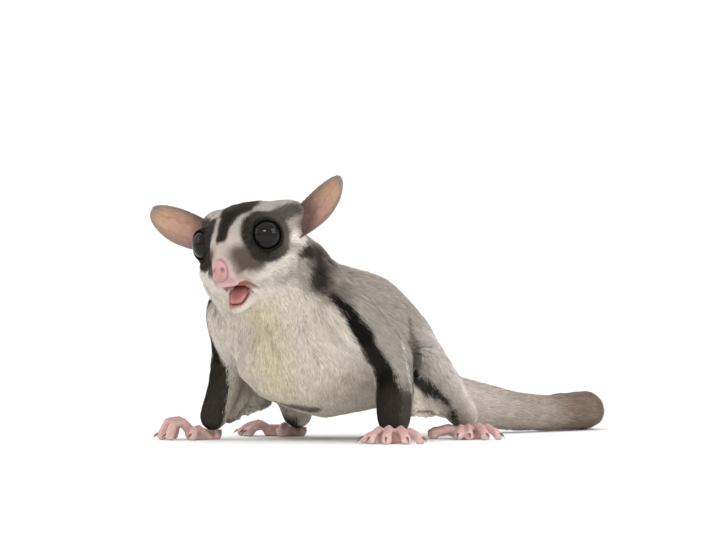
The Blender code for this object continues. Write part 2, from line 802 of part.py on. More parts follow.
def main():
    clearScene()
    body = wholeBody()
    folds = {"patagium_" + side: fold("patagium_" + side, membrane[side], body)
             for side in ("left", "right")}
    nodes = partBody(body)
    nodes.update(folds)
    head = carveHead(nodes["head"])
    carveNose(nodes["nose"])
    nodes["tongue"] = tongue()
    boolean(nodes["lower_jaw"], [grownCopy(nodes["tongue"], touchGap)], "DIFFERENCE")
    boolean(head, [grownCopy(nodes["tongue"], touchGap)], "DIFFERENCE")
    nodes["lower_jaw"] = thin(keepLargest(nodes["lower_jaw"]), triangleCount["jaw"])
    thin(keepLargest(head), triangleCount["head"])
    thin(nodes["nose"], triangleCount["nose"])
    for side, sign in (("left", 1), ("right", -1)):
        nodes["eye_" + side] = eye("eye_" + side, sign)
        nodes["ear_" + side] = ear("ear_" + side, sign, head)
        wristBead = ((foreArm[side][2][0], wristRadius),)
        nodes["hand_" + side] = paw(
            "hand_" + side, handPlan[side], handDigits, palmLength, palmHalfWidth,
            wristBead, nodes["forearm_" + side], True,
        )
        ankleBead = ((shank[side][2][0], ankleRadius),)
        nodes["foot_" + side] = paw(
            "foot_" + side, footPlan[side], footDigits, soleLength, palmHalfWidth,
            ankleBead, nodes["shank_" + side], False,
        )
    looks = {}
    grey = material("grey_fur", furGrey, 0.85)
    dark = material("dark_fur", furDark, 0.85)
    pink = material("pink_skin", skinPink, 0.6)
    black = material("eye_black", eyeBlack, 0.08)
    earSkin = material("ear_skin", skinEar, 0.6)
    mouth = material("mouth_skin", skinMouth, 0.4)
    tailEnd = material("tail_end_fur", tailDark, 0.85)
    for name in nodes:
        looks[name] = grey
        if name.startswith(("hand", "foot", "nose")):
            looks[name] = pink
        if name.startswith("eye"):
            looks[name] = black
        if name.startswith("ear"):
            looks[name] = earSkin
        if name.startswith(("forearm", "shank")):
            looks[name] = dark
    looks["tongue"] = mouth
    looks["tail_tip"] = tailEnd
    finish(nodes, looks)


if __name__ == "__main__":
    main()
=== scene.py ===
import math

import bmesh
import bpy
import numpy as np
from mathutils import Matrix, Vector
from mathutils.bvhtree import BVHTree


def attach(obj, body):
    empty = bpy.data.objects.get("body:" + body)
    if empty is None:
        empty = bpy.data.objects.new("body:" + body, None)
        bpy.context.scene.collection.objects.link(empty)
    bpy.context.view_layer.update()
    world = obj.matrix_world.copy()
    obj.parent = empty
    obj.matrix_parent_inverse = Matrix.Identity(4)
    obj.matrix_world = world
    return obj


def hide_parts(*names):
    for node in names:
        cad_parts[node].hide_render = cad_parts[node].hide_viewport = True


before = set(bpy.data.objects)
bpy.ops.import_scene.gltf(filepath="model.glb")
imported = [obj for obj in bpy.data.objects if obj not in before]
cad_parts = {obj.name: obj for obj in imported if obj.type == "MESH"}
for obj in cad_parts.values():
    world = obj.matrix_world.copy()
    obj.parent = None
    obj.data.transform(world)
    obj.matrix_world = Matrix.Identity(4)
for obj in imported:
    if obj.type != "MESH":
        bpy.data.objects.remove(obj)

mm = 0.001
shift = np.array([-1.0, -86.6, 0.0])      # the solids' own move, from the body's axes to the row frame
rng = np.random.default_rng(7)
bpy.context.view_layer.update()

# the head's place; eye, nose and ear are in distances to its left, forward and up, in millimetres
head = dict(place=(-3.2, -14.0, 64.9), yaw=7.0, pitch=15.0, roll=7.0,
            eye=(10.5, -0.3, 0.25), eyeRadius=5.2, facing=(0.55, 0.80, 0.22), opening=4.6,
            nose=(0.0, 17.6, -6.8), nostril=(1.75, 17.1, -5.7),
            skull=(0.0, -4.0, -2.5), skullSize=(16.0, 21.0, 13.5), muzzle=(0.0, 17.0, -3.0))

# axes of the body: centre and radius of each bead, as in the solids; 1 is the animal's left, -1 its right
axes = {
    "trunk": ((-3, -3, 62, 14), (-1.5, 8, 57, 15.5), (0.5, 16.5, 47.5, 18.5),
              (0.5, 22, 36, 22.5), (1, 31, 33.7, 24.5), (3, 49, 33.3, 24),
              (4.2, 65, 28.5, 19), (6, 78, 21.5, 12)),
    "tail": ((6, 83, 20, 10), (9, 100, 13.8, 8.5), (13, 116, 10.6, 8.4),
             (17.5, 134, 7.8, 7.6), (22, 153, 6.8, 7.1), (24.5, 170, 7.2, 7.6),
             (22.5, 183, 7.3, 7.7), (14.5, 192.5, 7.2, 7.5), (3, 195.5, 6.8, 7),
             (-9, 194, 5.6, 5.8), (-17, 191, 4.4, 4.2)),
    ("arm", 1): ((18.5, 13, 42, 11.5), (24.5, 20, 35, 9.8), (29.8, 27, 28, 7.8),
                 (33, 24, 16.5, 6.7), (34.8, 20.8, 7, 5.6)),
    ("leg", 1): ((12.3, 66, 26.3, 13.8), (22, 57, 25, 11.4), (30, 49.5, 24, 8.8),
                 (32.5, 60.5, 15, 6.9), (33.5, 69.5, 7.6, 5.2)),
    ("arm", -1): ((-20.3, 11.5, 42.3, 11.4), (-26.2, 18.5, 34.5, 8.6), (-32.2, 25, 27.5, 6.9),
                  (-31.9, 20.5, 16.5, 5.9), (-32.8, 15.5, 7.3, 4.9)),
    ("leg", -1): ((-5, 66, 26.5, 14.6), (-15, 56, 25, 12.2), (-23.5, 44.5, 22, 8.8),
                  (-26, 55.5, 13.5, 6.6), (-28.7, 61.3, 7.6, 5.5)),
}
limbs = (("arm", 1), ("arm", -1), ("leg", 1), ("leg", -1))
sides = dict(Left=1, Right=-1)
border = 11.0       # how sharply one region of the body gives way to the next


def headMatrix():
    turn = (Matrix.Rotation(math.radians(head["yaw"]), 4, "Z")
            @ Matrix.Rotation(math.radians(-head["roll"]), 4, "Y")
            @ Matrix.Rotation(math.radians(head["pitch"]), 4, "X"))
    return Matrix.Translation(Vector(head["place"])) @ turn @ Matrix.Diagonal((1.0, -1.0, 1.0, 1.0))


headFrame = np.array(headMatrix())
headBack = np.linalg.inv(headFrame)


def inHead(points):
    return points @ headBack[:3, :3].T + headBack[:3, 3]


def fromHead(point):
    return headFrame[:3, :3] @ np.array(point) + headFrame[:3, 3]


def headWay(side, way):
    a, f, u = way
    return Vector(headFrame[:3, :3] @ np.array((side * a, f, u))).normalized()


def toRow(point):
    return Vector((np.array(point) + shift) * mm)


def ease(x, low, high):
    t = np.clip((x - low) / (high - low), 0.0, 1.0)
    return t * t * (3.0 - 2.0 * t)


def fade(x, low, high):
    return 1.0 - ease(x, low, high)


def unit(v):
    return v / np.maximum(np.linalg.norm(v, axis=-1, keepdims=True), 1e-9)


# the nearest place on a beaded axis: distance over radius, share of the length, centre, direction
def along(points, axis):
    axis = np.array(axis)
    lengths = np.linalg.norm(np.diff(axis[:, :3], axis=0), axis=1)
    ends = np.concatenate([[0.0], np.cumsum(lengths)]) / lengths.sum()
    best = np.full(len(points), 1e9)
    share, centre, way = np.zeros(len(points)), np.zeros_like(points), np.zeros_like(points)
    for k in range(len(axis) - 1):
        a, b = axis[k, :3], axis[k + 1, :3]
        t = np.clip((points - a) @ (b - a) / ((b - a) @ (b - a)), 0.0, 1.0)
        place = a + t[:, None] * (b - a)
        radius = axis[k, 3] + t * (axis[k + 1, 3] - axis[k, 3])
        far = np.linalg.norm(points - place, axis=1) / radius
        near = far < best
        best[near] = far[near]
        share[near] = (ends[k] + t * (ends[k + 1] - ends[k]))[near]
        centre[near] = place[near]
        way[near] = (b - a) / np.linalg.norm(b - a)
    return best, share, centre, way


# points in the head's distances, their place on each axis, and how far they belong to each region
def regions(points):
    local = inHead(points)
    inSkull = (local - np.array(head["skull"])) / np.array(head["skullSize"])
    found = {"head": (np.linalg.norm(inSkull, axis=1), None, None, None)}
    for name, axis in axes.items():
        found[name] = along(points, axis)
    far = np.stack([f[0] for f in found.values()])
    weight = np.exp(-border * (far - far.min(axis=0)))
    weight /= weight.sum(axis=0)
    return local, found, dict(zip(found, weight))


# signed distance in side view from a line that runs from the chin to the rump: positive above it
def fromLine(y, z, line):
    best = np.full(len(y), 1e9)
    sign = np.ones(len(y))
    for (ya, za), (yb, zb) in zip(line, line[1:]):
        dy, dz = yb - ya, zb - za
        t = np.clip(((y - ya) * dy + (z - za) * dz) / (dy * dy + dz * dz), 0.0, 1.0)
        far = np.hypot(y - ya - t * dy, z - za - t * dz)
        near = far < best
        best[near] = far[near]
        sign[near] = np.sign(dy * (z - za) - dz * (y - ya))[near]
    return best * sign


# a slow random field between -1 and 1, made of a few waves
def wander(points, size, seed):
    waves = np.random.default_rng(seed)
    total = np.zeros(len(points))
    for _ in range(9):
        way = unit(waves.normal(size=3)) * waves.uniform(0.6, 1.5) * 2 * math.pi / size
        total += np.sin(points @ way + waves.uniform(0, 2 * math.pi))
    return total / 4.5


# how far points lie in a stroke through beads of centre and radius: 1 inside, fading over soft
def stroke(points, beads, soft, ragged=0.0):
    beads = np.array(beads, dtype=float)
    best = np.full(len(points), 1e9)
    for a, b in zip(beads, beads[1:]):
        d = b[:3] - a[:3]
        t = np.clip((points - a[:3]) @ d / (d @ d), 0.0, 1.0)
        far = np.linalg.norm(points - a[:3] - t[:, None] * d, axis=1) - a[3] - t * (b[3] - a[3])
        best = np.minimum(best, far)
    return fade(best + ragged, -0.5 * soft, 0.5 * soft)


coat = dict(
    grey=(0.38, 0.335, 0.29), flank=(0.37, 0.33, 0.29), haunch=(0.60, 0.545, 0.51),
    dark=(0.006, 0.0045, 0.003), ring=(0.034, 0.029, 0.023), brown=(0.030, 0.024, 0.018),
    shade=(0.08, 0.066, 0.050), dusk=(0.085, 0.069, 0.055), cream=(0.66, 0.60, 0.515),
    warm=(0.66, 0.58, 0.42), white=(0.80, 0.75, 0.70), crown=(0.43, 0.39, 0.35), cheek=(0.69, 0.635, 0.56),
    under=(0.66, 0.60, 0.50), lips=(0.48, 0.34, 0.30), pale=(0.53, 0.45, 0.40), snout=(0.105, 0.078, 0.064),
    pink=(0.66, 0.44, 0.43), mouth=(0.40, 0.165, 0.14), tail=(0.52, 0.455, 0.40), tailEnd=(0.22, 0.16, 0.12),
    tailRim=(0.12, 0.085, 0.063),
)
# where grey gives way to cream in side view: back and up of each corner
flankLine = ((-24, 50), (-10, 51), (-3, 52), (2, 46), (8, 38), (15, 31.5), (23, 24),
             (34, 18), (60, 14.5), (80, 12), (95, 8))

# strokes of the coat on the animal's left, mirrored to its right: left, back, up and radius of each bead
marks = dict(
    neckBand=((15, 7.5, 63, 3), (15.8, 6.2, 57, 3.6), (16.8, 5.2, 52, 3.2)),
    neckFade=((15, 13.5, 63, 4.6), (17, 6, 52, 4.2), (22.5, 5.6, 47.6, 4), (26, 6.6, 44, 2.6)),
    neckLink=((16.8, 5, 51.5, 2.2), (21, 4.4, 48.6, 1.5), (24.5, 4.8, 45.4, 1.3)),
    arm=((22.5, 4, 47, 0.9), (26.2, 5.6, 43.2, 1.9), (27.8, 7.6, 39.6, 2.3), (28.8, 9.8, 36.4, 2.8),
         (29.7, 12.1, 33.2, 2.9), (29.8, 14.2, 30, 2.8), (30, 17, 26.8, 3.1), (31.5, 19.2, 23.2, 3.7),
         (32.6, 19.3, 20, 4.1), (33.6, 18.4, 15.5, 5), (34.2, 18.2, 9, 5.4), (34.6, 18.6, 6, 5.2)),
    armFringe=((33.2, 26.7, 36.5, 0.15), (35.5, 25, 33.5, 0.4), (36.9, 24.7, 29.5, 0.5),
               (38, 24.5, 24, 0.5), (39, 24.8, 18.6, 0.5), (39.4, 25.8, 12, 0.6), (38.2, 26, 6.5, 0.9)),
    # dark line along the front of the thigh, with painted shade where the arm lies against the haunch
    haunchFrontLineAndShade=((25.2, 48.5, 39.5, 1.2), (26.6, 47.3, 34, 1.7), (30.6, 42.4, 28, 1.8),
                 (31, 41.6, 22, 1.9)),
    legBar=((31.2, 39.5, 19.5, 3.2), (32.4, 45.2, 17.6, 2.8), (34.2, 50, 15.2, 1.9), (35.2, 54, 12.6, 1),
            (35.6, 57.4, 10.4, 0.7), (34, 61, 8.4, 1.6), (33, 65, 6.4, 2.2)),
    legFringe=((31.8, 56, 31.7, 0.2), (37.1, 53.6, 26.7, 0.35), (38.5, 57.7, 19.9, 0.45),
               (38.9, 61, 15.6, 0.5), (38.4, 66, 12, 0.6), (36.5, 71.5, 8, 0.9)),
)
# shadows of the chest and below the thigh, on one side only
shadows = dict(
    crease=((1.9, -4.8, 38.6, 0.2), (1.7, -3.1, 36.5, 0.5), (2.9, -2, 31.6, 0.5), (4.8, -0.8, 26.8, 0.2)),
    spot=((16.8, 3.5, 30.4, 0.3), (15.4, 3.3, 27, 0.3)),
    underLeg=((-4, 11.5, 12, 2.2), (1.2, 13.5, 10.8, 2.6), (4, 20, 9.8, 3)),
)
# strokes of the head in its own distances, on both sides
headMarks = dict(
    toEar=((11.5, -4.5, 5, 2.4), (14.5, -9, 5.4, 2.9), (17, -13.5, 5.2, 2.4)),
    fold=((17.3, -3, -9, 0.5), (16, -1.4, -12.5, 0.7), (13.6, -1.4, -15.6, 0.7), (10.5, 0, -18.6, 0.4)),
    lip=((2.6, 15.2, -9.6, 0.9), (4.4, 10.6, -9.9, 1.1), (5.2, 7.4, -12.4, 0.8)),
    jaw=((5.4, 5.6, -13.6, 0.5), (3.6, 10.4, -18.8, 0.6), (0, 13, -19.8, 0.7)),
    patch=((16.8, -9.4, -3, 2.2), (17.2, -13.2, -3.8, 3)),
    spot=((16.6, -9.4, -9.2, 1.3), (18, -14, -9.4, 2.2)),
)


def mirrored(points, middle=-1.0):
    twin = points.copy()
    twin[:, 0] = middle + np.abs(points[:, 0] - middle)
    return twin


# colours laid over one another by their amounts; the base is a colour's name, or a colour for each point
def layered(palette, base, *layers):
    colour = np.array(palette[base]) if isinstance(base, str) else base
    for name, amount in layers:
        colour = colour + (np.array(palette[name]) - colour) * np.clip(amount, 0.0, 1.0)[:, None]
    return colour


def neckLayers(p, ripple):
    twin = mirrored(p)
    return (("dusk", 0.72 * stroke(twin, marks["neckFade"], 5.0, 0.8 * ripple)),
            ("brown", 0.94 * stroke(twin, marks["neckBand"], 4.4, ripple)),
            ("brown", 0.5 * stroke(twin, marks["neckLink"], 3.0, 0.8 * ripple)),
            ("dark", stroke(twin, marks["arm"][:5], 1.7, 0.35 * ripple)))


def trunkColour(p, ripple):
    x, y, z = p.T
    above = fromLine(y, z, flankLine) + 0.9 * ripple
    pale = fade(above, -1.8, 1.8)
    # warm middle of the chest
    front = np.exp(-((x - 1.5) / 7.5) ** 2) * fade(y, 2, 12) * fade(z, 44, 52)
    # dark line along the spine, fading towards the rump
    middle = np.interp(y, (0, 16, 31, 49, 65, 80), (-2.2, 0.2, 1, 3, 4.4, 6))
    half = np.interp(y, (0, 20, 50, 75), (4, 2.9, 2.2, 1.2))
    spine = fade(np.abs(x - middle + 0.6 * ripple), half - 1.3, half + 1.5)
    return layered(
        coat, "grey",
        ("flank", fade(above, 4, 18)),
        ("haunch", 0.6 * ease(y, 52, 76)),
        ("cream", pale),
        ("under", pale * fade(z, 14, 27)),
        ("warm", 0.85 * front * pale),
        ("shade", 0.55 * stroke(p, shadows["crease"], 2.4)),
        ("shade", 0.8 * stroke(p, shadows["spot"], 1.4)),
        ("shade", 0.85 * stroke(p, shadows["underLeg"], 1.6)),
        *neckLayers(p, ripple),
        # dark line at the front of the thigh, and painted shade where the arm lies against it
        ("brown", 0.62 * stroke(mirrored(p), marks["haunchFrontLineAndShade"], 2.6, 0.6 * ripple)),
        ("dark", 0.95 * stroke(mirrored(p), marks["legBar"], 1.5, 0.4 * ripple)),
        ("brown", 0.85 * spine * ease(above, 12, 20) * fade(y, 30, 54)))


def headColour(q, ripple):
    side, f, u = np.abs(q[:, 0]), q[:, 1], q[:, 2]
    twin, ring = bothSides(q), eyeDistance(q)
    # height above the edge of the white cheek
    low = u - np.interp(f, (-24, -14, -8, 0, 6, 12, 17), (-14, -8.5, -6.5, -6.5, -6.5, -9, -10.5))
    # side of the muzzle
    snout = ease(f, 3, 5) * fade(u, -1.8, 1.8) * ease(u + 0.5 * ripple, -11.2, -7.8)
    snout *= fade(ring + 0.4 * ripple, 13.5, 20.5) * ease(side + 0.3 * ripple, 0.6, 4.2)
    # stripe from the muzzle over the crown
    half = np.interp(f, (-24, -16, -10, -7, -2.5, 2, 6, 9.2, 10.6),
                     (4, 4.6, 5.9, 6.7, 5.2, 3.2, 2.3, 2.1, 1.6))
    middle = np.abs(q[:, 0] + 0.5 * ease(f, 0, 6))
    band = fade(middle + 0.2 * ripple, half - 0.6, half + 0.6) * ease(u, 0.4, 1.6)
    band *= fade(f, 9.6, 11.2)
    return layered(
        coat, "crown",
        ("grey", ease(-f, 12, 19)),
        # cheek, chin and bridge of the muzzle
        ("cheek", fade(low + 0.3 * ripple, -1, 1)),
        ("cream", fade(low, -9, -4) * fade(f, -8, 6)),
        ("pale", ease(f, 6, 9) * ease(u, -8.5, -5)),
        ("snout", snout),
        # dark ring of the eye, drawn out towards the ear
        ("brown", fade(ring + 0.35 * ripple, 8.3, 9.8)),
        ("ring", fade(ring + 0.3 * ripple, 6.9, 8.8)),
        ("dark", 0.6 * ease(wander(q, 1.7, 51), 0, 0.7) * fade(ring, 7.6, 9)),
        ("ring", stroke(twin, headMarks["toEar"], 1.6, 0.3 * ripple)),
        # painted shade in the fold below the cheek
        ("shade", 0.62 * stroke(twin, headMarks["fold"], 1.8)),
        ("brown", band),
        ("dark", 0.7 * band * fade(middle, half - 2.4, half - 0.6) * ease(f, -6, 0)),
        # pink end of the muzzle, and the lips
        ("pink", 0.95 * ease(f - 0.12 * u, 14, 15.8)),
        ("lips", 0.9 * stroke(twin, headMarks["lip"], 1.6)),
        ("lips", 0.7 * stroke(twin, headMarks["jaw"], 1.4)))


def armColour(p, place, side, ripple):
    _, share, centre, _ = place
    r = unit(p - centre)
    # 0 is forwards, 90 is outwards, -90 is inwards
    turn = np.degrees(np.arctan2(r[:, 0] * side, -r[:, 1])) + 4 * ripple
    front = np.interp(share, (0, 0.1, 0.2, 0.35, 0.45, 1), (45, 38, 30, 12, -10, -44))
    inner = fade(turn, front - 5, front + 5) * ease(turn, -178, -155)
    # the forearm is dark all round but for its inner side and the fringe behind it
    if side > 0:
        low, first = ease(share + 0.01 * ripple, 0.72, 0.88), -42
    else:
        low = ease(share, 0.42, 0.56)
        first = np.interp(share, (0.4, 0.7, 0.8, 0.95, 1), (10, -43, -58, -74, -90))
    outer = ease(turn, first - 6, first + 4) * fade(turn, 102, 122)
    return layered(
        coat, "flank",
        ("cream", inner),
        ("white", 0.5 * inner * ease(share, 0.05, 0.2) * fade(share, 0.6, 0.8)),
        *neckLayers(p, ripple),
        ("dark", stroke(mirrored(p), marks["arm"], 1.7, 0.35 * ripple)),
        ("brown", 0.97 * low * outer),
        ("shade", 0.75 * low * outer * ease(turn, 45, 75)),
        # painted shade on the back of the elbow and forearm, where the arm lies against the haunch
        ("brown", 0.5 * ease(np.abs(turn), 110, 130) * ease(share, 0.45, 0.55) * (1 - inner)),
        ("white", 0.9 * stroke(mirrored(p), marks["armFringe"], 0.8)))


def legColour(p, place, side, ripple):
    _, share, centre, _ = place
    r = unit(p - centre)
    # 0 is outwards, 90 is up and back, -90 is down and forward
    turn = np.degrees(np.arctan2(r[:, 1] * 0.7 + r[:, 2] * 0.72, r[:, 0] * side)) + 5 * ripple
    inner = ease(np.abs(turn), 108, 128)
    twin = mirrored(p, -1 if side > 0 else 2.2)
    return layered(
        coat, "haunch",
        ("flank", fade(turn, -50, 20)),
        ("cream", inner),
        ("under", 0.8 * ease(-turn, 78, 92) * ease(share, 0.5, 0.6)),
        # dark line at the front of the thigh, and painted shade where the arm lies against it
        ("brown", 0.72 * stroke(twin, marks["haunchFrontLineAndShade"], 2.6, 0.6 * ripple)),
        ("dark", 0.95 * stroke(twin, marks["legBar"], 1.5, 0.4 * ripple)),
        ("brown", (0.9 if side < 0 else 0) * ease(share, 0.86, 0.97) * (1 - inner)),
        ("white", 0.85 * stroke(twin, marks["legFringe"], 0.8)))


def tailColour(p, place, ripple):
    _, share, centre, _ = place
    return layered(
        coat, "tail",
        ("haunch", fade(share, 0.05, 0.3)),
        ("grey", 0.35 * ease(unit(p - centre)[:, 2], 0.2, 0.9)),
        ("tailEnd", 0.4 * ease(share + 0.03 * ripple, 0.22, 0.40)),
        ("tailEnd", ease(share + 0.02 * ripple, 0.43, 0.57)),
        ("tailRim", ease(share + 0.02 * ripple, 0.60, 0.80)))


def coatColour(p, local, found, weight):
    ripple = wander(p, 6.0, 3) + 0.5 * wander(p, 2.4, 4)
    colour = weight["trunk"][:, None] * trunkColour(p, ripple)
    colour += weight["head"][:, None] * headColour(local, ripple)
    colour += weight["tail"][:, None] * tailColour(p, found["tail"], ripple)
    for limb, side in limbs:
        limbColour = armColour if limb == "arm" else legColour
        colour += weight[limb, side][:, None] * limbColour(p, found[limb, side], side, ripple)
    # white before the ear and dark below it, over head and neck alike
    twin = bothSides(local)
    marked = layered(coat, colour,
                     ("white", 0.9 * stroke(twin, headMarks["patch"], 1.6)),
                     ("ring", stroke(twin, headMarks["spot"], 1.4, 0.3 * ripple)))
    colour = colour + (1.0 - weight["arm", 1] - weight["arm", -1])[:, None] * (marked - colour)
    mottle = 1.0 + 0.05 * wander(p, 3.0, 21) + 0.04 * wander(p, 1.3, 22)
    return colour * mottle[:, None]


def bothSides(local):
    return np.column_stack([np.abs(local[:, 0]), local[:, 1], local[:, 2]])


def eyeDistance(local):
    return np.linalg.norm(bothSides(local) - np.array(head["eye"]), axis=1)


# 1 on the muzzle and round the eyes, 0 at the back of the head
def faceShare(local):
    return np.maximum(ease(local[:, 1], -3, 9), fade(eyeDistance(local), 6.2, 11))


def mouthShare(local, normal):
    side, f, u = np.abs(local[:, 0]), local[:, 1], local[:, 2]
    up = normal @ headFrame[:3, 2]
    reach = fade(side, 4.8, 6.4) * ease(f, -1, 2.5)
    roof = ease(-up, 0.35, 0.7) * ease(-u, 10.2, 11.4) * fade(-u, 14.6, 15.6) * fade(f, 15, 16.5)
    base = ease(up, 0.15, 0.5) * ease(-u, 11.5, 12.8) * fade(f, 12.6, 13.6)
    return reach * np.maximum(roof, base)


# depth and length of the coat, some with what is added towards the face, the chest or the tail's end
furDepth = dict(head=(1.35, -1), trunk=2.1, tail=(2.3, 0.7), limb=(2, 1.5, 0.8, 0.5))
furLength = dict(head=(4.4, -3.2), trunk=5.6, tail=(6.5, 2.5), limb=(5.2, 4, 2.6, 2.2), chest=-0.25)
limbShares = (0, 0.5, 0.9, 1)
# which way the coat hangs, added to the direction of the axis below it
hang = dict(trunk=(0, 0.15, -0.62), arm=(0, 0, -0.25), leg=(0, 0.1, -0.25), thigh=(0, 0.65, -0.75))


def coatSizes(local, found, weight):
    face, tail = faceShare(local), found["tail"][1]
    chest = 1 + furLength["chest"] * ease(-local[:, 1], -14, 6)
    (crown, toFace), (root, toEnd) = furDepth["head"], furDepth["tail"]
    depth = weight["head"] * ((crown + toFace * face) * ease(eyeDistance(local), 5.6, 7.6))
    depth += weight["trunk"] * furDepth["trunk"]
    depth += weight["tail"] * (root + toEnd * ease(tail, 0.3, 0.8))
    (crown, toFace), (root, toEnd) = furLength["head"], furLength["tail"]
    length = weight["head"] * (crown + toFace * face) + weight["trunk"] * furLength["trunk"] * chest
    length += weight["tail"] * (root + toEnd * ease(tail, 0.3, 0.9))
    for limb in limbs:
        depth += weight[limb] * np.interp(found[limb][1], limbShares, furDepth["limb"])
        length += weight[limb] * np.interp(found[limb][1], limbShares, furLength["limb"])
    return depth, length


# the way the coat lies: back from the muzzle, along the axes and downwards
def lieOf(p, found, weight):
    pull = {name: np.array(way) for name, way in hang.items()}
    flow = weight["head"][:, None] * unit(p - fromHead(head["muzzle"]))
    flow += weight["trunk"][:, None] * (found["trunk"][3] * 0.8 + pull["trunk"])
    flow += weight["tail"][:, None] * found["tail"][3]
    for limb in limbs:
        way = found[limb][3]
        if limb[0] == "leg":
            # on the thigh the coat runs down and back, as on the flank, and only then along the shank
            low = ease(found[limb][1], 0.42, 0.62)[:, None]
            way = way * low + pull["thigh"] * (1 - low)
        flow += weight[limb][:, None] * (way + pull[limb[0]])
    return unit(flow)


def linked(name, data):
    made = bpy.data.objects.new(name, data)
    bpy.context.scene.collection.objects.link(made)
    return made


def objectFrom(name, bm):
    mesh = bpy.data.meshes.new(name)
    bm.to_mesh(mesh)
    bm.free()
    return linked(name, mesh)


def applied(obj):
    graph = bpy.context.evaluated_depsgraph_get()
    graph.update()
    made = bpy.data.meshes.new_from_object(obj.evaluated_get(graph))
    old = obj.data
    obj.modifiers.clear()
    obj.data = made
    bpy.data.meshes.remove(old)
    return obj


def smooth(obj):
    obj.data.polygons.foreach_set("use_smooth", np.ones(len(obj.data.polygons), dtype=bool))


def turnTo(way):
    return way.to_track_quat("Z", "Y").to_matrix().to_4x4()


def softened(obj, rounds, group=""):
    step = obj.modifiers.new("soften", "SMOOTH")
    step.iterations = rounds
    step.vertex_group = group
    return applied(obj)


def remeshed(obj, cell, rounds):
    step = obj.modifiers.new("fuse", "REMESH")
    step.mode = "VOXEL"
    step.voxel_size = cell * mm
    applied(obj)
    return softened(obj, rounds) if rounds else obj


def vertexValues(mesh, name):
    flat = np.empty(len(mesh.vertices) * 3, dtype=np.float32)
    mesh.vertices.foreach_get(name, flat)
    return flat.reshape(-1, 3).astype(float)


def surfaceOf(mesh):
    return vertexValues(mesh, "co") / mm - shift, vertexValues(mesh, "normal")


def setPoints(mesh, points):
    mesh.vertices.foreach_set("co", ((points + shift) * mm).astype(np.float32).ravel())
    mesh.update()


def paint(mesh, colours):
    layer = mesh.color_attributes.new("coat", "FLOAT_COLOR", "POINT")
    four = np.ones((len(colours), 4), dtype=np.float32)
    four[:, :3] = np.clip(colours, 0.0, 1.0)
    layer.data.foreach_set("color", four.ravel())


def joined(name, nodes):
    bm = bmesh.new()
    for node in nodes:
        bm.from_mesh(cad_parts[node].data)
    bmesh.ops.remove_doubles(bm, verts=bm.verts, dist=0.002 * mm)
    bmesh.ops.recalc_face_normals(bm, faces=bm.faces)
    return objectFrom(name, bm)


def addBall(bm, centre, radius, detail=4):
    return bmesh.ops.create_icosphere(bm, subdivisions=detail, radius=radius * mm,
                                      matrix=Matrix.Translation(toRow(centre)))["verts"]


def cut(obj, cutters):
    for cutter in cutters:
        step = obj.modifiers.new("cut", "BOOLEAN")
        step.operation = "DIFFERENCE"
        step.solver = "MANIFOLD"
        step.object = cutter
    applied(obj)
    for cutter in cutters:
        bpy.data.objects.remove(cutter)
    return obj


def finished(obj, nodes):
    smooth(obj)
    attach(obj, "root")
    if nodes:
        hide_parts(*nodes)
    return obj


def eyeCentre(side):
    a, f, u = head["eye"]
    return fromHead((side * a, f, u))


skinSet = dict(grow=0.45, fill=1.5, cell=0.62, rounds=5, trunkRounds=26, levels=10, lid=0.85, depthBack=0.12,
               coneOut=6.0, coneLength=7.0, coneFlare=2.2, rimColour=(0.010, 0.008, 0.006), tint=0.72)
fleshNodes = ["head", "lower_jaw", "neck", "torso", "tail_base", "tail_middle", "tail_tip"]
for word in ("upper_arm", "forearm", "thigh", "shank", "patagium"):
    fleshNodes += [word + "_left", word + "_right"]


# how far the solids swell before they fuse: more on trunk and thighs, which closes the clefts between them
def growth(weight):
    broad = weight["trunk"] + weight["leg", 1] + weight["leg", -1]
    return skinSet["grow"] + skinSet["fill"] * ease(broad, 0.4, 1.0)


# a socket round each eyeball and a cone before it, which open the skin between the lids
def eyeCutters():
    for side in sides.values():
        bm = bmesh.new()
        addBall(bm, eyeCentre(side), head["eyeRadius"] + skinSet["depthBack"])
        yield objectFrom("socket", bm)
        bm = bmesh.new()
        way = headWay(side, head["facing"])
        place = Matrix.Translation(toRow(eyeCentre(side)) + way * skinSet["coneOut"] * mm) @ turnTo(way)
        bmesh.ops.create_cone(bm, cap_ends=True, segments=48, radius1=head["opening"] * mm,
                              radius2=(head["opening"] + skinSet["coneFlare"]) * mm,
                              depth=skinSet["coneLength"] * mm, matrix=place)
        yield objectFrom("opening", bm)


# one skin over all the nodes of flesh, sunk by the coat's depth, with lids round the eyes
def buildSkin():
    skin = joined("skin", fleshNodes)
    points, normals = surfaceOf(skin.data)
    setPoints(skin.data, points + normals * growth(regions(points)[2])[:, None])
    bm = bmesh.new()
    bm.from_mesh(skin.data)
    for side in sides.values():
        addBall(bm, eyeCentre(side), head["eyeRadius"] + skinSet["lid"] + skinSet["grow"])
    bm.to_mesh(skin.data)
    bm.free()
    remeshed(skin, skinSet["cell"], skinSet["rounds"])
    # the body is smoothed more than the face and the paws
    weight = regions(surfaceOf(skin.data)[0])[2]
    broad = sum(0.7 * weight[limb] for limb in limbs)
    broad = ease(weight["trunk"] + 0.6 * weight["tail"] + broad, 0.3, 0.95)
    group = skin.vertex_groups.new(name="broad")
    levels = skinSet["levels"]
    for level in range(1, levels + 1):
        members = np.nonzero(np.round(broad * levels) == level)[0]
        group.add([int(k) for k in members], level / levels, "REPLACE")
    softened(skin, skinSet["trunkRounds"], "broad")
    skin.vertex_groups.clear()
    points, normals = surfaceOf(skin.data)
    local, found, weight = regions(points)
    depth = coatSizes(local, found, weight)[0] * (1.0 - mouthShare(local, normals))
    setPoints(skin.data, points - normals * (growth(weight) + depth)[:, None])
    softened(skin, 2)
    cut(skin, list(eyeCutters()))
    paintSkin(skin)
    return finished(skin, fleshNodes)


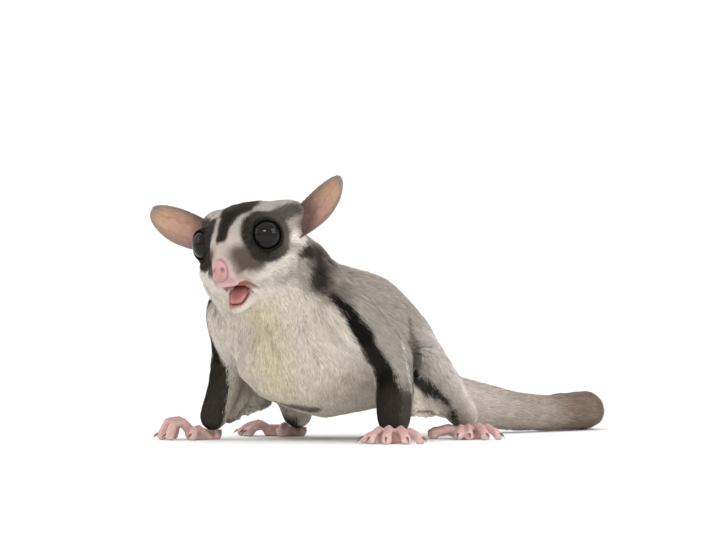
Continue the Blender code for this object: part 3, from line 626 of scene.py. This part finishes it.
# the skin takes the coat's colours a little darker, with red in the mouth and black along the lids
def paintSkin(skin):
    points, normals = surfaceOf(skin.data)
    local, found, weight = regions(points)
    outside = points + normals * coatSizes(local, found, weight)[0][:, None]
    colours = coatColour(outside, *regions(outside)) * skinSet["tint"]
    mouth = mouthShare(local, normals)[:, None]
    colours = colours * (1 - mouth) + np.array(coat["mouth"]) * mouth
    rim = fade(eyeDistance(local), 6.3, 7.2)[:, None]
    paint(skin.data, colours * (1 - rim) + np.array(skinSet["rimColour"]) * rim)


skin = buildSkin()
print("skin", len(skin.data.vertices))


coatSet = dict(
    count=440000, quickShare=0.35, perPiece=64000,
    headDensity=2.6, faceDensity=3.2, tailDensity=1.2, limbDensity=1.5, chestDensity=1.3,
    width=0.36, faceWidth=0.19, steps=(0.0, 0.5, 1.0), rise=(-0.08, 0.74, 1.02), spread=(0.8, 1.0, 0.0),
    leastDepth=0.28, jitter=0.42, seen=0.6, root=0.60, middle=0.92, tip=1.10, shade=0.22, floorLevel=0.12,
    patch=0.003,
)


def unwrap(obj):
    bpy.context.view_layer.objects.active = obj
    obj.select_set(True)
    bpy.ops.object.mode_set(mode="EDIT")
    bpy.ops.mesh.select_all(action="SELECT")
    bpy.ops.uv.smart_project(angle_limit=math.radians(70), island_margin=0.002)
    bpy.ops.object.mode_set(mode="OBJECT")
    obj.select_set(False)
    obj.data.uv_layers[0].name = "OFBake"


def triangles(mesh):
    mesh.calc_loop_triangles()
    count = len(mesh.loop_triangles)
    corners, loops = np.empty(count * 3, dtype=np.int32), np.empty(count * 3, dtype=np.int32)
    mesh.loop_triangles.foreach_get("vertices", corners)
    mesh.loop_triangles.foreach_get("loops", loops)
    return corners.reshape(-1, 3), loops.reshape(-1, 3)


# how thick the tufts stand on each triangle of the skin
def coatDensity(middle, normal):
    local, found, weight = regions(middle)
    density = 1 + weight["head"] * (coatSet["headDensity"] - 1 + coatSet["faceDensity"] * faceShare(local))
    density += weight["tail"] * (coatSet["tailDensity"] - 1)
    density += weight["trunk"] * (coatSet["chestDensity"] - 1) * fade(middle[:, 1], 8, 22)
    for limb in limbs:
        density += weight[limb] * (coatSet["limbDensity"] - 1) * ease(found[limb][1], 0.3, 0.8)
    density *= 1 - np.clip(1.4 * mouthShare(local, normal), 0, 1)
    density *= np.where(eyeDistance(local) < 6, 0, 1)
    return density * ease(np.linalg.norm(local - np.array(head["nose"]), axis=1), 2.2, 3.6)


# even draws of tuft roots over the skin's weighted area: places, normals and places on the map
def tuftRoots(mesh, points, normals, corners, loops, count):
    uv = np.empty(len(mesh.loops) * 2, dtype=np.float32)
    mesh.uv_layers[0].data.foreach_get("uv", uv)
    a, b, c = (points[corners[:, k]] for k in range(3))
    cross = np.cross(b - a, c - a)
    area = np.linalg.norm(cross, axis=1) / 2
    total = np.cumsum(area * coatDensity((a + b + c) / 3, unit(cross)))
    draw = (np.arange(count) + rng.random(count)) / count * total[-1]
    chosen = np.searchsorted(total, draw)
    s, t = np.sqrt(rng.random(count)), rng.random(count)
    share = np.column_stack([1 - s, s * (1 - t), s * t])[:, :, None]
    root, normal, place = ((values[index[chosen]] * share).sum(axis=1) for values, index in (
        (points, corners), (normals, corners), (uv.reshape(-1, 2), loops)))
    return root, unit(normal), place


# each tuft followed along the skin: its places, the skin's normals and the sideways directions there
def traced(tree, root, normal, way, length):
    surface, out, across = [root], [normal], [np.cross(normal, way)]
    for step in np.diff(coatSet["steps"]):
        aim = surface[-1] + way * (length * step)[:, None]
        placed, turned = np.empty_like(aim), np.empty_like(aim)
        for k, v in enumerate(aim):
            placed[k], turned[k] = tree.find_nearest(v)[:2]
        way = unit(way - turned * (way * turned).sum(axis=1)[:, None])
        surface.append(placed)
        out.append(turned)
        across.append(np.cross(turned, way))
    return surface, out, across


def buildCoat():
    points, normals = surfaceOf(skin.data)
    corners, loops = triangles(skin.data)
    thinned = 1.0
    count = int(coatSet["count"] * thinned)
    root, normal, rootUv = tuftRoots(skin.data, points, normals, corners, loops, count)
    local, found, weight = regions(root)
    face = faceShare(local) * weight["head"]
    skinDepth, length = coatSizes(local, found, weight)
    length *= rng.uniform(0.7, 1.2, count)
    depth = np.maximum(skinDepth, coatSet["leastDepth"]) * rng.uniform(0.78, 1.03, count)
    depth *= 1.0 + 0.09 * wander(root, 4.0, 13)
    finer = np.maximum(face, 0.5 * weight["head"])
    width = coatSet["width"] + (coatSet["faceWidth"] - coatSet["width"]) * finer
    width *= rng.uniform(0.7, 1.2, count) * (1.0 / math.sqrt(thinned))
    # neighbours lean the same way, so that the coat falls in loose locks
    lean = 0.12 * wander(root, 11.0, 11) + 0.07 * wander(root, 3.5, 12) + rng.normal(scale=0.09, size=count)
    flow = lieOf(root, found, weight)
    way = unit(flow - normal * (flow * normal).sum(axis=1)[:, None])
    way = unit(way + np.cross(normal, way) * lean[:, None])
    tree = BVHTree.FromPolygons([Vector(v) for v in points], [tuple(int(i) for i in f) for f in corners])
    surface, out, across = traced(tree, root, normal, way, length)

    # a tuft's colour belongs to the place where it is seen, well along it
    seen = surface[1] + coatSet["seen"] * (surface[2] - surface[1]) * (1.0 - 0.5 * face)[:, None]
    seen += out[2] * skinDepth[:, None]
    seen += rng.normal(scale=coatSet["jitter"], size=seen.shape) * (1.0 - 0.62 * face)[:, None]
    colour = coatColour(seen, *regions(seen))
    shade = 1.0 + coatSet["shade"] * rng.uniform(-1.0, 1.0, count) * (1.0 - 0.5 * face)
    shade += (0.10 * wander(seen, 1.9, 61) + 0.07 * wander(seen, 4.5, 62)) * (1.0 - 0.6 * face)
    base, middle = colour * (coatSet["root"] + 0.2 * face)[:, None], coatSet["middle"] * colour
    tones = np.stack([base, base, middle, middle, coatSet["tip"] * colour], axis=1) * shade[:, None, None]

    # two corners at the root, two half way and one at the tip
    corner = []
    for k, rise in enumerate(coatSet["rise"]):
        spot = surface[k] + out[k] * (depth * rise)[:, None]
        half = across[k] * (0.5 * width[:, None]) * coatSet["spread"][k]
        corner += [spot - half, spot + half] if k < 2 else [spot]
    verts = np.stack(corner, axis=1)
    verts[:, :, 2] = np.maximum(verts[:, :, 2], coatSet["floorLevel"])

    # pieces of even size, sorted by region and from front to back
    body = sum((weight[limb] for limb in limbs), weight["trunk"])
    part = np.argmax([weight["head"], body, weight["tail"]], axis=0)
    order = np.lexsort((root[:, 1], part))
    picks = [order[k:k + coatSet["perPiece"]] for k in range(0, count, coatSet["perPiece"])]
    return [coatPiece(f"coat{number}", verts[pick], tones[pick], rootUv[pick])
            for number, pick in enumerate(picks, 1)]


# many tufts in one mesh, each a blade of three triangles with its own patch of the map
def coatPiece(name, verts, tones, rootUv):
    count = len(verts)
    pattern = np.array([[0, 1, 3], [0, 3, 2], [2, 3, 4]])
    faces = (np.arange(count)[:, None, None] * 5 + pattern).reshape(-1, 3)
    mesh = bpy.data.meshes.new(name)
    mesh.vertices.add(count * 5)
    mesh.loops.add(len(faces) * 3)
    mesh.polygons.add(len(faces))
    mesh.vertices.foreach_set("co", ((verts.reshape(-1, 3) + shift) * mm).astype(np.float32).ravel())
    mesh.loops.foreach_set("vertex_index", faces.ravel().astype(np.int32))
    mesh.polygons.foreach_set("loop_start", np.arange(0, len(faces) * 3, 3, dtype=np.int32))
    mesh.update(calc_edges=True)
    mesh.validate()
    paint(mesh, tones.reshape(-1, 3))
    layer = mesh.uv_layers.new(name="OFBake")
    half = coatSet["patch"] / 2
    corner = np.array([[-1, -1], [1, -1], [-1, 0], [1, 0], [0, 1]]) * half
    place = (rootUv[:, None, :] + corner[None]).reshape(-1, 2)
    layer.data.foreach_set("uv", place[faces.ravel()].astype(np.float32).ravel())
    return finished(linked(name, mesh), ())


unwrap(skin)
print("unwrapped")
coatPieces = buildCoat()
print("coat", [len(p.data.polygons) for p in coatPieces])


def eye(name, side, node):
    bm = bmesh.new()
    place = Matrix.Translation(toRow(eyeCentre(side))) @ turnTo(headWay(side, head["facing"]))
    bmesh.ops.create_uvsphere(bm, u_segments=64, v_segments=40, radius=head["eyeRadius"] * mm, matrix=place)
    return finished(objectFrom(name, bm), (node,))


def refined(name, node, cell, rounds):
    return finished(remeshed(joined(name, [node]), cell, rounds), (node,))


flesh = dict(
    nose=(0.51, 0.285, 0.28), noseFront=(0.43, 0.21, 0.205), nostril=(0.10, 0.035, 0.03),
    tongue=(0.40, 0.155, 0.14), tongueBack=(0.22, 0.06, 0.05),
    paw=(0.62, 0.40, 0.365), pawPad=(0.70, 0.50, 0.46), pawBack=(0.44, 0.25, 0.235),
    pawHair=(0.13, 0.09, 0.07),
    ear=(0.47, 0.295, 0.185), earPink=(0.45, 0.26, 0.215), earRim=(0.24, 0.185, 0.15),
    earRootShade=(0.13, 0.078, 0.062), earBack=(0.26, 0.20, 0.16), earVein=(0.27, 0.15, 0.095),
    earFur=(0.34, 0.30, 0.26),
)


def paintNose(obj):
    local = inHead(surfaceOf(obj.data)[0])
    nostril = np.linalg.norm(bothSides(local) - np.array(head["nostril"]), axis=1)
    paint(obj.data, layered(flesh, "nose",
                            ("noseFront", 0.5 * ease(local[:, 1] - 0.3 * local[:, 2], 17, 19.4)),
                            ("nostril", fade(nostril, 0.35, 0.95))))


def paintTongue(obj):
    local = inHead(surfaceOf(obj.data)[0])
    paint(obj.data, layered(flesh, "tongue", ("tongueBack", fade(local[:, 1], 3, 8))))


def paintPaw(obj, wrist):
    points, normals = surfaceOf(obj.data)
    patches, high = wander(points, 3.2, 31), points[:, 2]
    near = np.linalg.norm(points - np.array(wrist), axis=1)
    paint(obj.data, layered(flesh, "paw",
                            ("pawPad", 0.5 * ease(patches, -0.2, 0.9) + 0.6 * fade(high, 0.8, 2.4)),
                            ("pawBack", 0.75 * ease(normals[:, 2], 0.3, 0.9) * ease(high, 2.2, 4)),
                            ("pawHair", 0.8 * fade(near + patches, 3.4, 6))))


earSet = dict(base=(13.0, -15.4, -1.6), tip=(34.3, -12.0, 13.6), facing=(0.10, 0.82, 0.56), upper=4.4,
              lower=7.3, widest=0.51, rootShare=0.69, taper=0.43, cup=4.2, tipCup=1.1, lean=-1.4, setBack=1.5,
              thick=0.5, rows=90, columns=56, cell=0.24, rounds=3,
              root=((-3.5, 4.6, 0.6), (1.5, 4.0, 1.4), (5.0, 2.2, 2.2)))


def earLength():
    return float(np.linalg.norm(np.subtract(earSet["tip"], earSet["base"])))


# the leaf's width as a share of its widest, from root to tip
def leafShare(length):
    widest, root = earSet["widest"], earSet["rootShare"]
    swell = np.sin(0.5 * math.pi * np.clip(length / widest, 0, 1))
    narrow = np.cos(0.5 * math.pi * np.clip((length - widest) / (1.0 - widest), 0, 0.995))
    return np.where(length < widest, root + (1.0 - root) * swell, narrow ** earSet["taper"])


# a point of the ear's leaf: along it from root to tip, across it from its upper edge to its lower
def earPoint(length, across):
    share = float(leafShare(length))
    half = share * (earSet["lower"] if across > 0 else earSet["upper"])
    cup = (earSet["cup"] * (1.0 - length) ** 1.3 + earSet["tipCup"]) * share
    lean = earSet["lean"] * math.sin(math.pi * length)
    # fine folds across the leaf, and fewer along it
    ripple = 0.10 * math.sin(34.0 * length + 2.0 * across) * (1.0 - abs(across))
    ripple += 0.12 * math.sin(9.0 * across)
    height = cup * across * across + lean + ripple - earSet["setBack"]
    return Vector((half * across, earLength() * length, height)) * mm


def earMatrix(side):
    base = Vector(earSet["base"])
    length = (Vector(earSet["tip"]) - base).normalized()
    facing = Vector(earSet["facing"])
    facing = (facing - facing.dot(length) * length).normalized()
    across = length.cross(facing)
    across = -across if across.z > 0 else across
    turned = Matrix((across, length, facing)).transposed().to_4x4()
    toWorld = Matrix.Translation(Vector(shift) * mm) @ Matrix.Scale(mm, 4) @ headMatrix()
    toSide = Matrix.Diagonal((side, 1.0, 1.0, 1.0)) @ Matrix.Translation(base)
    return toWorld @ toSide @ turned @ Matrix.Scale(1 / mm, 4)


def buildEar(name, side, node):
    bm = bmesh.new()
    bmesh.ops.create_grid(bm, x_segments=earSet["columns"], y_segments=earSet["rows"], size=1.0)
    for vert in bm.verts:
        vert.co = earPoint(0.5 * (vert.co.y + 1.0) * 0.995, vert.co.x)
    bmesh.ops.solidify(bm, geom=list(bm.faces), thickness=earSet["thick"] * mm)
    bm.transform(earMatrix(side))
    out = unit(np.subtract(earSet["tip"], earSet["base"]))
    beads = []
    for step, radius, back in earSet["root"]:
        a, f, u = np.array(earSet["base"]) + out * step
        beads.append((fromHead((side * a, f - back, u)), radius))
    for (start, r), (end, s) in zip(beads, beads[1:]):
        for t in (0.0, 0.33, 0.67, 1.0):
            addBall(bm, start + (end - start) * t, r + (s - r) * t, 3)
    bmesh.ops.recalc_face_normals(bm, faces=bm.faces)
    made = remeshed(objectFrom(name, bm), earSet["cell"], earSet["rounds"])
    paintEar(made, side)
    return finished(made, (node,))


# the leaf is tan with fine veins, grey-brown along its rim and back, and darkened at its root with painted
# shade where it folds into the head
def paintEar(obj, side):
    points, normals = surfaceOf(obj.data)
    back = np.array(earMatrix(side).inverted())
    leaf = ((points + shift) * mm) @ back[:3, :3].T / mm + back[:3, 3] / mm
    length = leaf[:, 1] / earLength()
    across = leaf[:, 0] / (leafShare(length) * np.where(leaf[:, 0] > 0, earSet["lower"], earSet["upper"]))
    behind = fade(normals @ np.array(earMatrix(side))[:3, 2], -0.2, 0.3)
    lines = np.sin(9 * across + 2.4 * np.sin(3 * length) + 1.6 * wander(points, 6, 41))
    edge = np.maximum(np.abs(across), np.clip(length, 0, 1) ** 3)
    fromRoot = length + 0.12 * across + 0.03 * wander(points, 2, 43)
    paint(obj.data, layered(
        flesh, "ear",
        ("earPink", ease(across, -0.6, 0.3) * fade(length, 0.45, 0.8)),
        ("earVein", 0.34 * ease(lines, 0.55, 0.95) + 0.16 * ease(wander(points, 2.2, 42), 0, 1)),
        ("earRim", 0.85 * ease(edge, 0.52, 0.92) + 0.35 * ease(-across, 0, 0.7)),
        # painted shade at the root of the leaf, where it folds into the head
        ("earRootShade", 0.9 * fade(fromRoot, 0.2, 0.55)),
        ("earBack", 0.9 * behind),
        ("earFur", behind * fade(length, 0.12, 0.34))))


# hands and feet as in the solids: where the palm lies, the way it points, and how its digits spread
pawSet = dict(palm=7.6, sole=10.5, clawLength=2.9, dip=0.6, rise=1.12, knuckle=0.45, inset=0.8, splay=0.9,
              segments=12, lowest=0.03,
              arc=((-0.10, 0.35, 0.60), (0.22, 0.75, 0.56), (0.50, 0.72, 0.44), (0.82, 0.25, 0.27),
                   (1.02, -0.62, 0.06)))
pawPlan = {
    "handLeft": dict(wrist=(34.9, 20.5, 5.6), aim=-62, side=1),
    "handRight": dict(wrist=(-33.1, 15, 5.6), aim=-142, side=-1),
    "footLeft": dict(wrist=(33.6, 70, 5.6), aim=-50, side=1),
    "footRight": dict(wrist=(-29, 61.2, 5.6), aim=-146, side=-1),
}
# turn in degrees, length, start across and radius of each clawed digit
handDigits = ((54, 7.4, 3.2, 1.55), (26, 9.4, 2.6, 1.7), (4, 10.8, 0.7, 1.75), (-19, 10.8, -1.4, 1.75),
              (-44, 9.2, -3.1, 1.65))
footDigits = ((20, 8.4, 2.8, 1.65), (6, 8.8, 1.1, 1.65), (-12, 10.8, -1.1, 1.75),
              (-34, 9.6, -3, 1.65))


def clawBeads(plan, hand):
    angle = math.radians(plan["aim"])
    way = Vector((math.cos(angle), math.sin(angle), 0.0))
    left = Vector((-way.y, way.x, 0.0)) * -plan["side"]
    heel = Vector((*plan["wrist"][:2], 0.0)) - way
    length = pawSet["palm"] if hand else pawSet["sole"]
    for number, (turn, reach, across, radius) in enumerate(handDigits if hand else footDigits):
        thumb = hand and number == 0
        start = heel + way * length * (pawSet["knuckle"] if thumb else 1.0) + left * across * pawSet["splay"]
        start -= Vector() if thumb else way * pawSet["inset"]
        heading = angle + math.radians(turn * -plan["side"])
        out = Vector((math.cos(heading), math.sin(heading), 0.0))
        tip = start + out * reach
        tip.z = radius * pawSet["rise"] - pawSet["dip"]
        yield [(tip + out * reachOut * pawSet["clawLength"] + Vector((0.0, 0.0, above)), wide)
               for reachOut, above, wide in pawSet["arc"]]


# smooth hooked cones over the tips of the digits, all in one mesh
def buildClaws(name):
    bm = bmesh.new()
    for word, plan in pawPlan.items():
        for beads in clawBeads(plan, word.startswith("hand")):
            rings = []
            for k, (spot, wide) in enumerate(beads):
                before, after = beads[max(k - 1, 0)][0], beads[min(k + 1, len(beads) - 1)][0]
                place = Matrix.Translation(toRow(spot)) @ turnTo(after - before)
                rings.append(bmesh.ops.create_circle(bm, segments=pawSet["segments"], radius=wide * mm,
                                                     matrix=place)["verts"])
            for near, far in zip(rings, rings[1:]):
                for k in range(pawSet["segments"]):
                    bm.faces.new((near[k - 1], near[k], far[k], far[k - 1]))
            bm.faces.new(rings[0][::-1])
            bm.faces.new(rings[-1])
    bmesh.ops.recalc_face_normals(bm, faces=bm.faces)
    for vert in bm.verts:
        vert.co.z = max(vert.co.z, pawSet["lowest"] * mm)
    return finished(objectFrom(name, bm), ())


eyes = [eye("eyeBall" + word, side, "eye_" + word.lower()) for word, side in sides.items()]
nose = refined("noseSkin", "nose", cell=0.2, rounds=2)
paintNose(nose)
tongue = refined("tongueFlesh", "tongue", cell=0.25, rounds=4)
paintTongue(tongue)
pads = []
for word, plan in pawPlan.items():
    kind, side = word[:4], word[4:]
    pads.append(refined(word + "Skin", f"{kind}_{side.lower()}", cell=0.24, rounds=3))
    paintPaw(pads[-1], plan["wrist"])
claws = buildClaws("claws")
ears = [buildEar(f"ear{word}Skin", side, "ear_" + word.lower()) for word, side in sides.items()]
print("pieces", [(p.name, len(p.data.polygons)) for p in pads + ears])


class Node:
    def __init__(self, tree, socket):
        self.tree, self.socket = tree, socket

    def math(self, operation, other, swap=False):
        pair = (other, self) if swap else (self, other)
        return build(self.tree, "ShaderNodeMath", dict(operation=operation), dict(enumerate(pair)))

    def __add__(self, other):
        return self.math("ADD", other)

    def __radd__(self, other):
        return self.math("ADD", other, True)

    def __sub__(self, other):
        return self.math("SUBTRACT", other)

    def __rmul__(self, other):
        return self.math("MULTIPLY", other, True)


def build(tree, kind, settings=None, inputs=None, output=0):
    node = tree.nodes.new(kind)
    for key, value in (settings or {}).items():
        setattr(node, key, value)
    for key, value in (inputs or {}).items():
        if isinstance(value, Node):
            tree.links.new(value.socket, node.inputs[key])
        else:
            node.inputs[key].default_value = value
    return Node(tree, node.outputs[output])


def material(name, **sockets):
    made = bpy.data.materials.new(name)
    made.use_nodes = True
    shader = made.node_tree.nodes["Principled BSDF"]
    for key, value in sockets.items():
        shader.inputs[key.replace("_", " ")].default_value = value
    return made, made.node_tree, shader


# a texture that stays on the object
def objectTexture(tree, kind, **inputs):
    return build(tree, kind, inputs=dict(inputs, Vector=build(tree, "ShaderNodeTexCoord", output=3)))


def bumped(tree, shader, height, strength, distance):
    bump = build(tree, "ShaderNodeBump", inputs=dict(Strength=strength, Distance=distance, Height=height))
    tree.links.new(bump.socket, shader.inputs["Normal"])


def painted(tree):
    return build(tree, "ShaderNodeAttribute", dict(attribute_name="coat"))


def furMaterial(name, roughness, specular, bumpScale=0.0):
    made, tree, shader = material(name, Roughness=roughness, Specular_IOR_Level=specular)
    tree.links.new(painted(tree).socket, shader.inputs["Base Color"])
    if bumpScale:
        grain = objectTexture(tree, "ShaderNodeTexNoise", Scale=bumpScale, Detail=3.0, Roughness=0.55)
        bumped(tree, shader, grain, 0.6, 0.0004)
    return made


# bare skin: its painted colour with fine mottling, and a bump of creases and pores
def fleshMaterial(name, roughness, scale, depth, mottle=0.35, specular=0.35, subsurface=0.1):
    made, tree, shader = material(name, Roughness=roughness, Specular_IOR_Level=specular,
                                  Subsurface_Weight=subsurface, Subsurface_Scale=0.001)
    grain = objectTexture(tree, "ShaderNodeTexNoise", Scale=scale, Detail=4.0, Roughness=0.6)
    tone = 1.0 + mottle * (grain - 0.5)
    grey = build(tree, "ShaderNodeCombineXYZ", inputs={0: tone, 1: tone, 2: tone})
    varied = build(tree, "ShaderNodeVectorMath", dict(operation="MULTIPLY"), {0: painted(tree), 1: grey})
    tree.links.new(varied.socket, shader.inputs["Base Color"])
    cells = objectTexture(tree, "ShaderNodeTexVoronoi", Scale=scale * 1.6)
    bumped(tree, shader, 0.6 * cells + 0.4 * grain, 0.5, depth)
    return made


def plainMaterial(name, colour, roughness, specular):
    return material(name, Base_Color=(*colour, 1), Roughness=roughness, Specular_IOR_Level=specular)[0]


def wear(made, *pieces):
    for piece in pieces:
        piece.data.materials.clear()
        piece.data.materials.append(made)


wear(furMaterial("skinFur", roughness=0.9, specular=0.1, bumpScale=900.0), skin)
wear(furMaterial("coatFur", roughness=0.8, specular=0.12), *coatPieces)
wear(plainMaterial("eyeBlack", (0.006, 0.005, 0.004), roughness=0.07, specular=0.22), *eyes)
wear(fleshMaterial("nosePink", roughness=0.5, scale=1400.0, depth=0.00022), nose)
wear(fleshMaterial("tongueRed", roughness=0.35, scale=1600.0, depth=0.00015, specular=0.5), tongue)
wear(fleshMaterial("padPink", roughness=0.6, scale=900.0, depth=0.00035, mottle=0.75, specular=0.3), *pads)
wear(fleshMaterial("earTan", roughness=0.7, scale=600.0, depth=0.00010, mottle=0.30, specular=0.25), *ears)
wear(plainMaterial("clawHorn", (0.17, 0.11, 0.08), roughness=0.35, specular=0.4), claws)
print("materials")


# scale in photo pixels to the millimetre at the anchor, a point below the chest
view = dict(azimuth=33.0, height=30.0, distance=850.0, scale=3.1, anchor=(12.0, 0.0, 0.0),
            anchorPixel=(300.0, 443.0), frameWidth=720.0, aim=(360.0, 270.0), sensor=36.0)


# the photo's camera: low, nearly level, and aimed at the middle of the photo's frame
def buildCamera():
    a = math.radians(view["azimuth"])
    back, right = np.array([math.sin(a), -math.cos(a), 0.0]), np.array([math.cos(a), math.sin(a), 0.0])
    anchor = np.array(view["anchor"])
    place = anchor + back * view["distance"] + np.array([0.0, 0.0, view["height"]])
    aim = (anchor + right * (view["aim"][0] - view["anchorPixel"][0]) / view["scale"]
           + np.array([0.0, 0.0, (view["anchorPixel"][1] - view["aim"][1]) / view["scale"]]))
    data = bpy.data.cameras.new("camera")
    camera = linked("camera", data)
    bpy.context.scene.camera = camera
    camera.location = toRow(place)
    camera.rotation_euler = Vector(aim - place).to_track_quat("-Z", "Y").to_euler()
    data.sensor_width = view["sensor"]
    data.lens = view["scale"] * float(np.linalg.norm(aim - place)) * view["sensor"] / view["frameWidth"]
    data.clip_start = 0.01


# azimuth and elevation in degrees, distance, width, height and power of each lamp
lamps = dict(keyLight=(23.0, 33.0, 0.95, 0.26, 0.12, 2.0), sideLight=(95.0, 30.0, 1.1, 0.6, 0.6, 3.3),
             leftLight=(-50.0, 25.0, 1.2, 0.6, 0.6, 1.5), backLight=(190.0, 50.0, 1.1, 0.7, 0.7, 2.0),
             backdropLight=(213.0, 48.0, 1.3, 1.4, 0.5, 9.0))
# where the lamps point, but for the backdrop's, and the whites of the sky and the floor
studio = dict(centre=(0.0, -0.05, 0.04), backdropWay=(-0.54, 0.84, -0.45), sky=0.93, floor=(0.93, 0.93, 0.93),
              profile=((0.0, 0.0), (0.7, 0.0), (1.4, 0.0), (1.8, 0.03), (2.2, 0.14), (2.5, 0.34), (2.7, 0.64),
                       (2.8, 1.0)))


def areaLight(name, azimuth, elevation, distance, width, height, power, aim=None):
    data = bpy.data.lights.new(name, "AREA")
    data.shape = "RECTANGLE"
    data.size, data.size_y = width, height
    data.energy = power
    made = linked(name, data)
    a, e = math.radians(azimuth), math.radians(elevation)
    way = Vector((math.sin(a) * math.cos(e), -math.cos(a) * math.cos(e), math.sin(e)))
    made.location = way * distance + Vector(studio["centre"])
    made.rotation_euler = (Vector(aim) if aim else -way).to_track_quat("-Z", "Y").to_euler()


# a pale round floor whose rim curves up out of sight
def buildFloor():
    bm = bmesh.new()
    verts = [bm.verts.new((r, 0.0, z)) for r, z in studio["profile"]]
    edges = [bm.edges.new(pair) for pair in zip(verts, verts[1:])]
    bmesh.ops.spin(bm, geom=verts + edges, cent=(0, 0, 0), axis=(0, 0, 1), angle=2 * math.pi, steps=72)
    bmesh.ops.remove_doubles(bm, verts=bm.verts, dist=1e-5)
    bmesh.ops.recalc_face_normals(bm, faces=bm.faces)
    floor = objectFrom("floor", bm)
    smooth(floor)
    wear(plainMaterial("paleFloor", studio["floor"], roughness=0.9, specular=0.1), floor)


buildCamera()
# the backdrop's lamp is turned away from the animal
for name, sizes in lamps.items():
    areaLight(name, *sizes, aim=studio["backdropWay"] if name == "backdropLight" else None)
world = bpy.data.worlds.new("studio")
bpy.context.scene.world = world
world.use_nodes = True
world.node_tree.nodes["Background"].inputs["Color"].default_value = (1.0, 1.0, 1.0, 1.0)
world.node_tree.nodes["Background"].inputs["Strength"].default_value = studio["sky"]
bpy.context.scene.view_settings.view_transform = "Standard"
buildFloor()
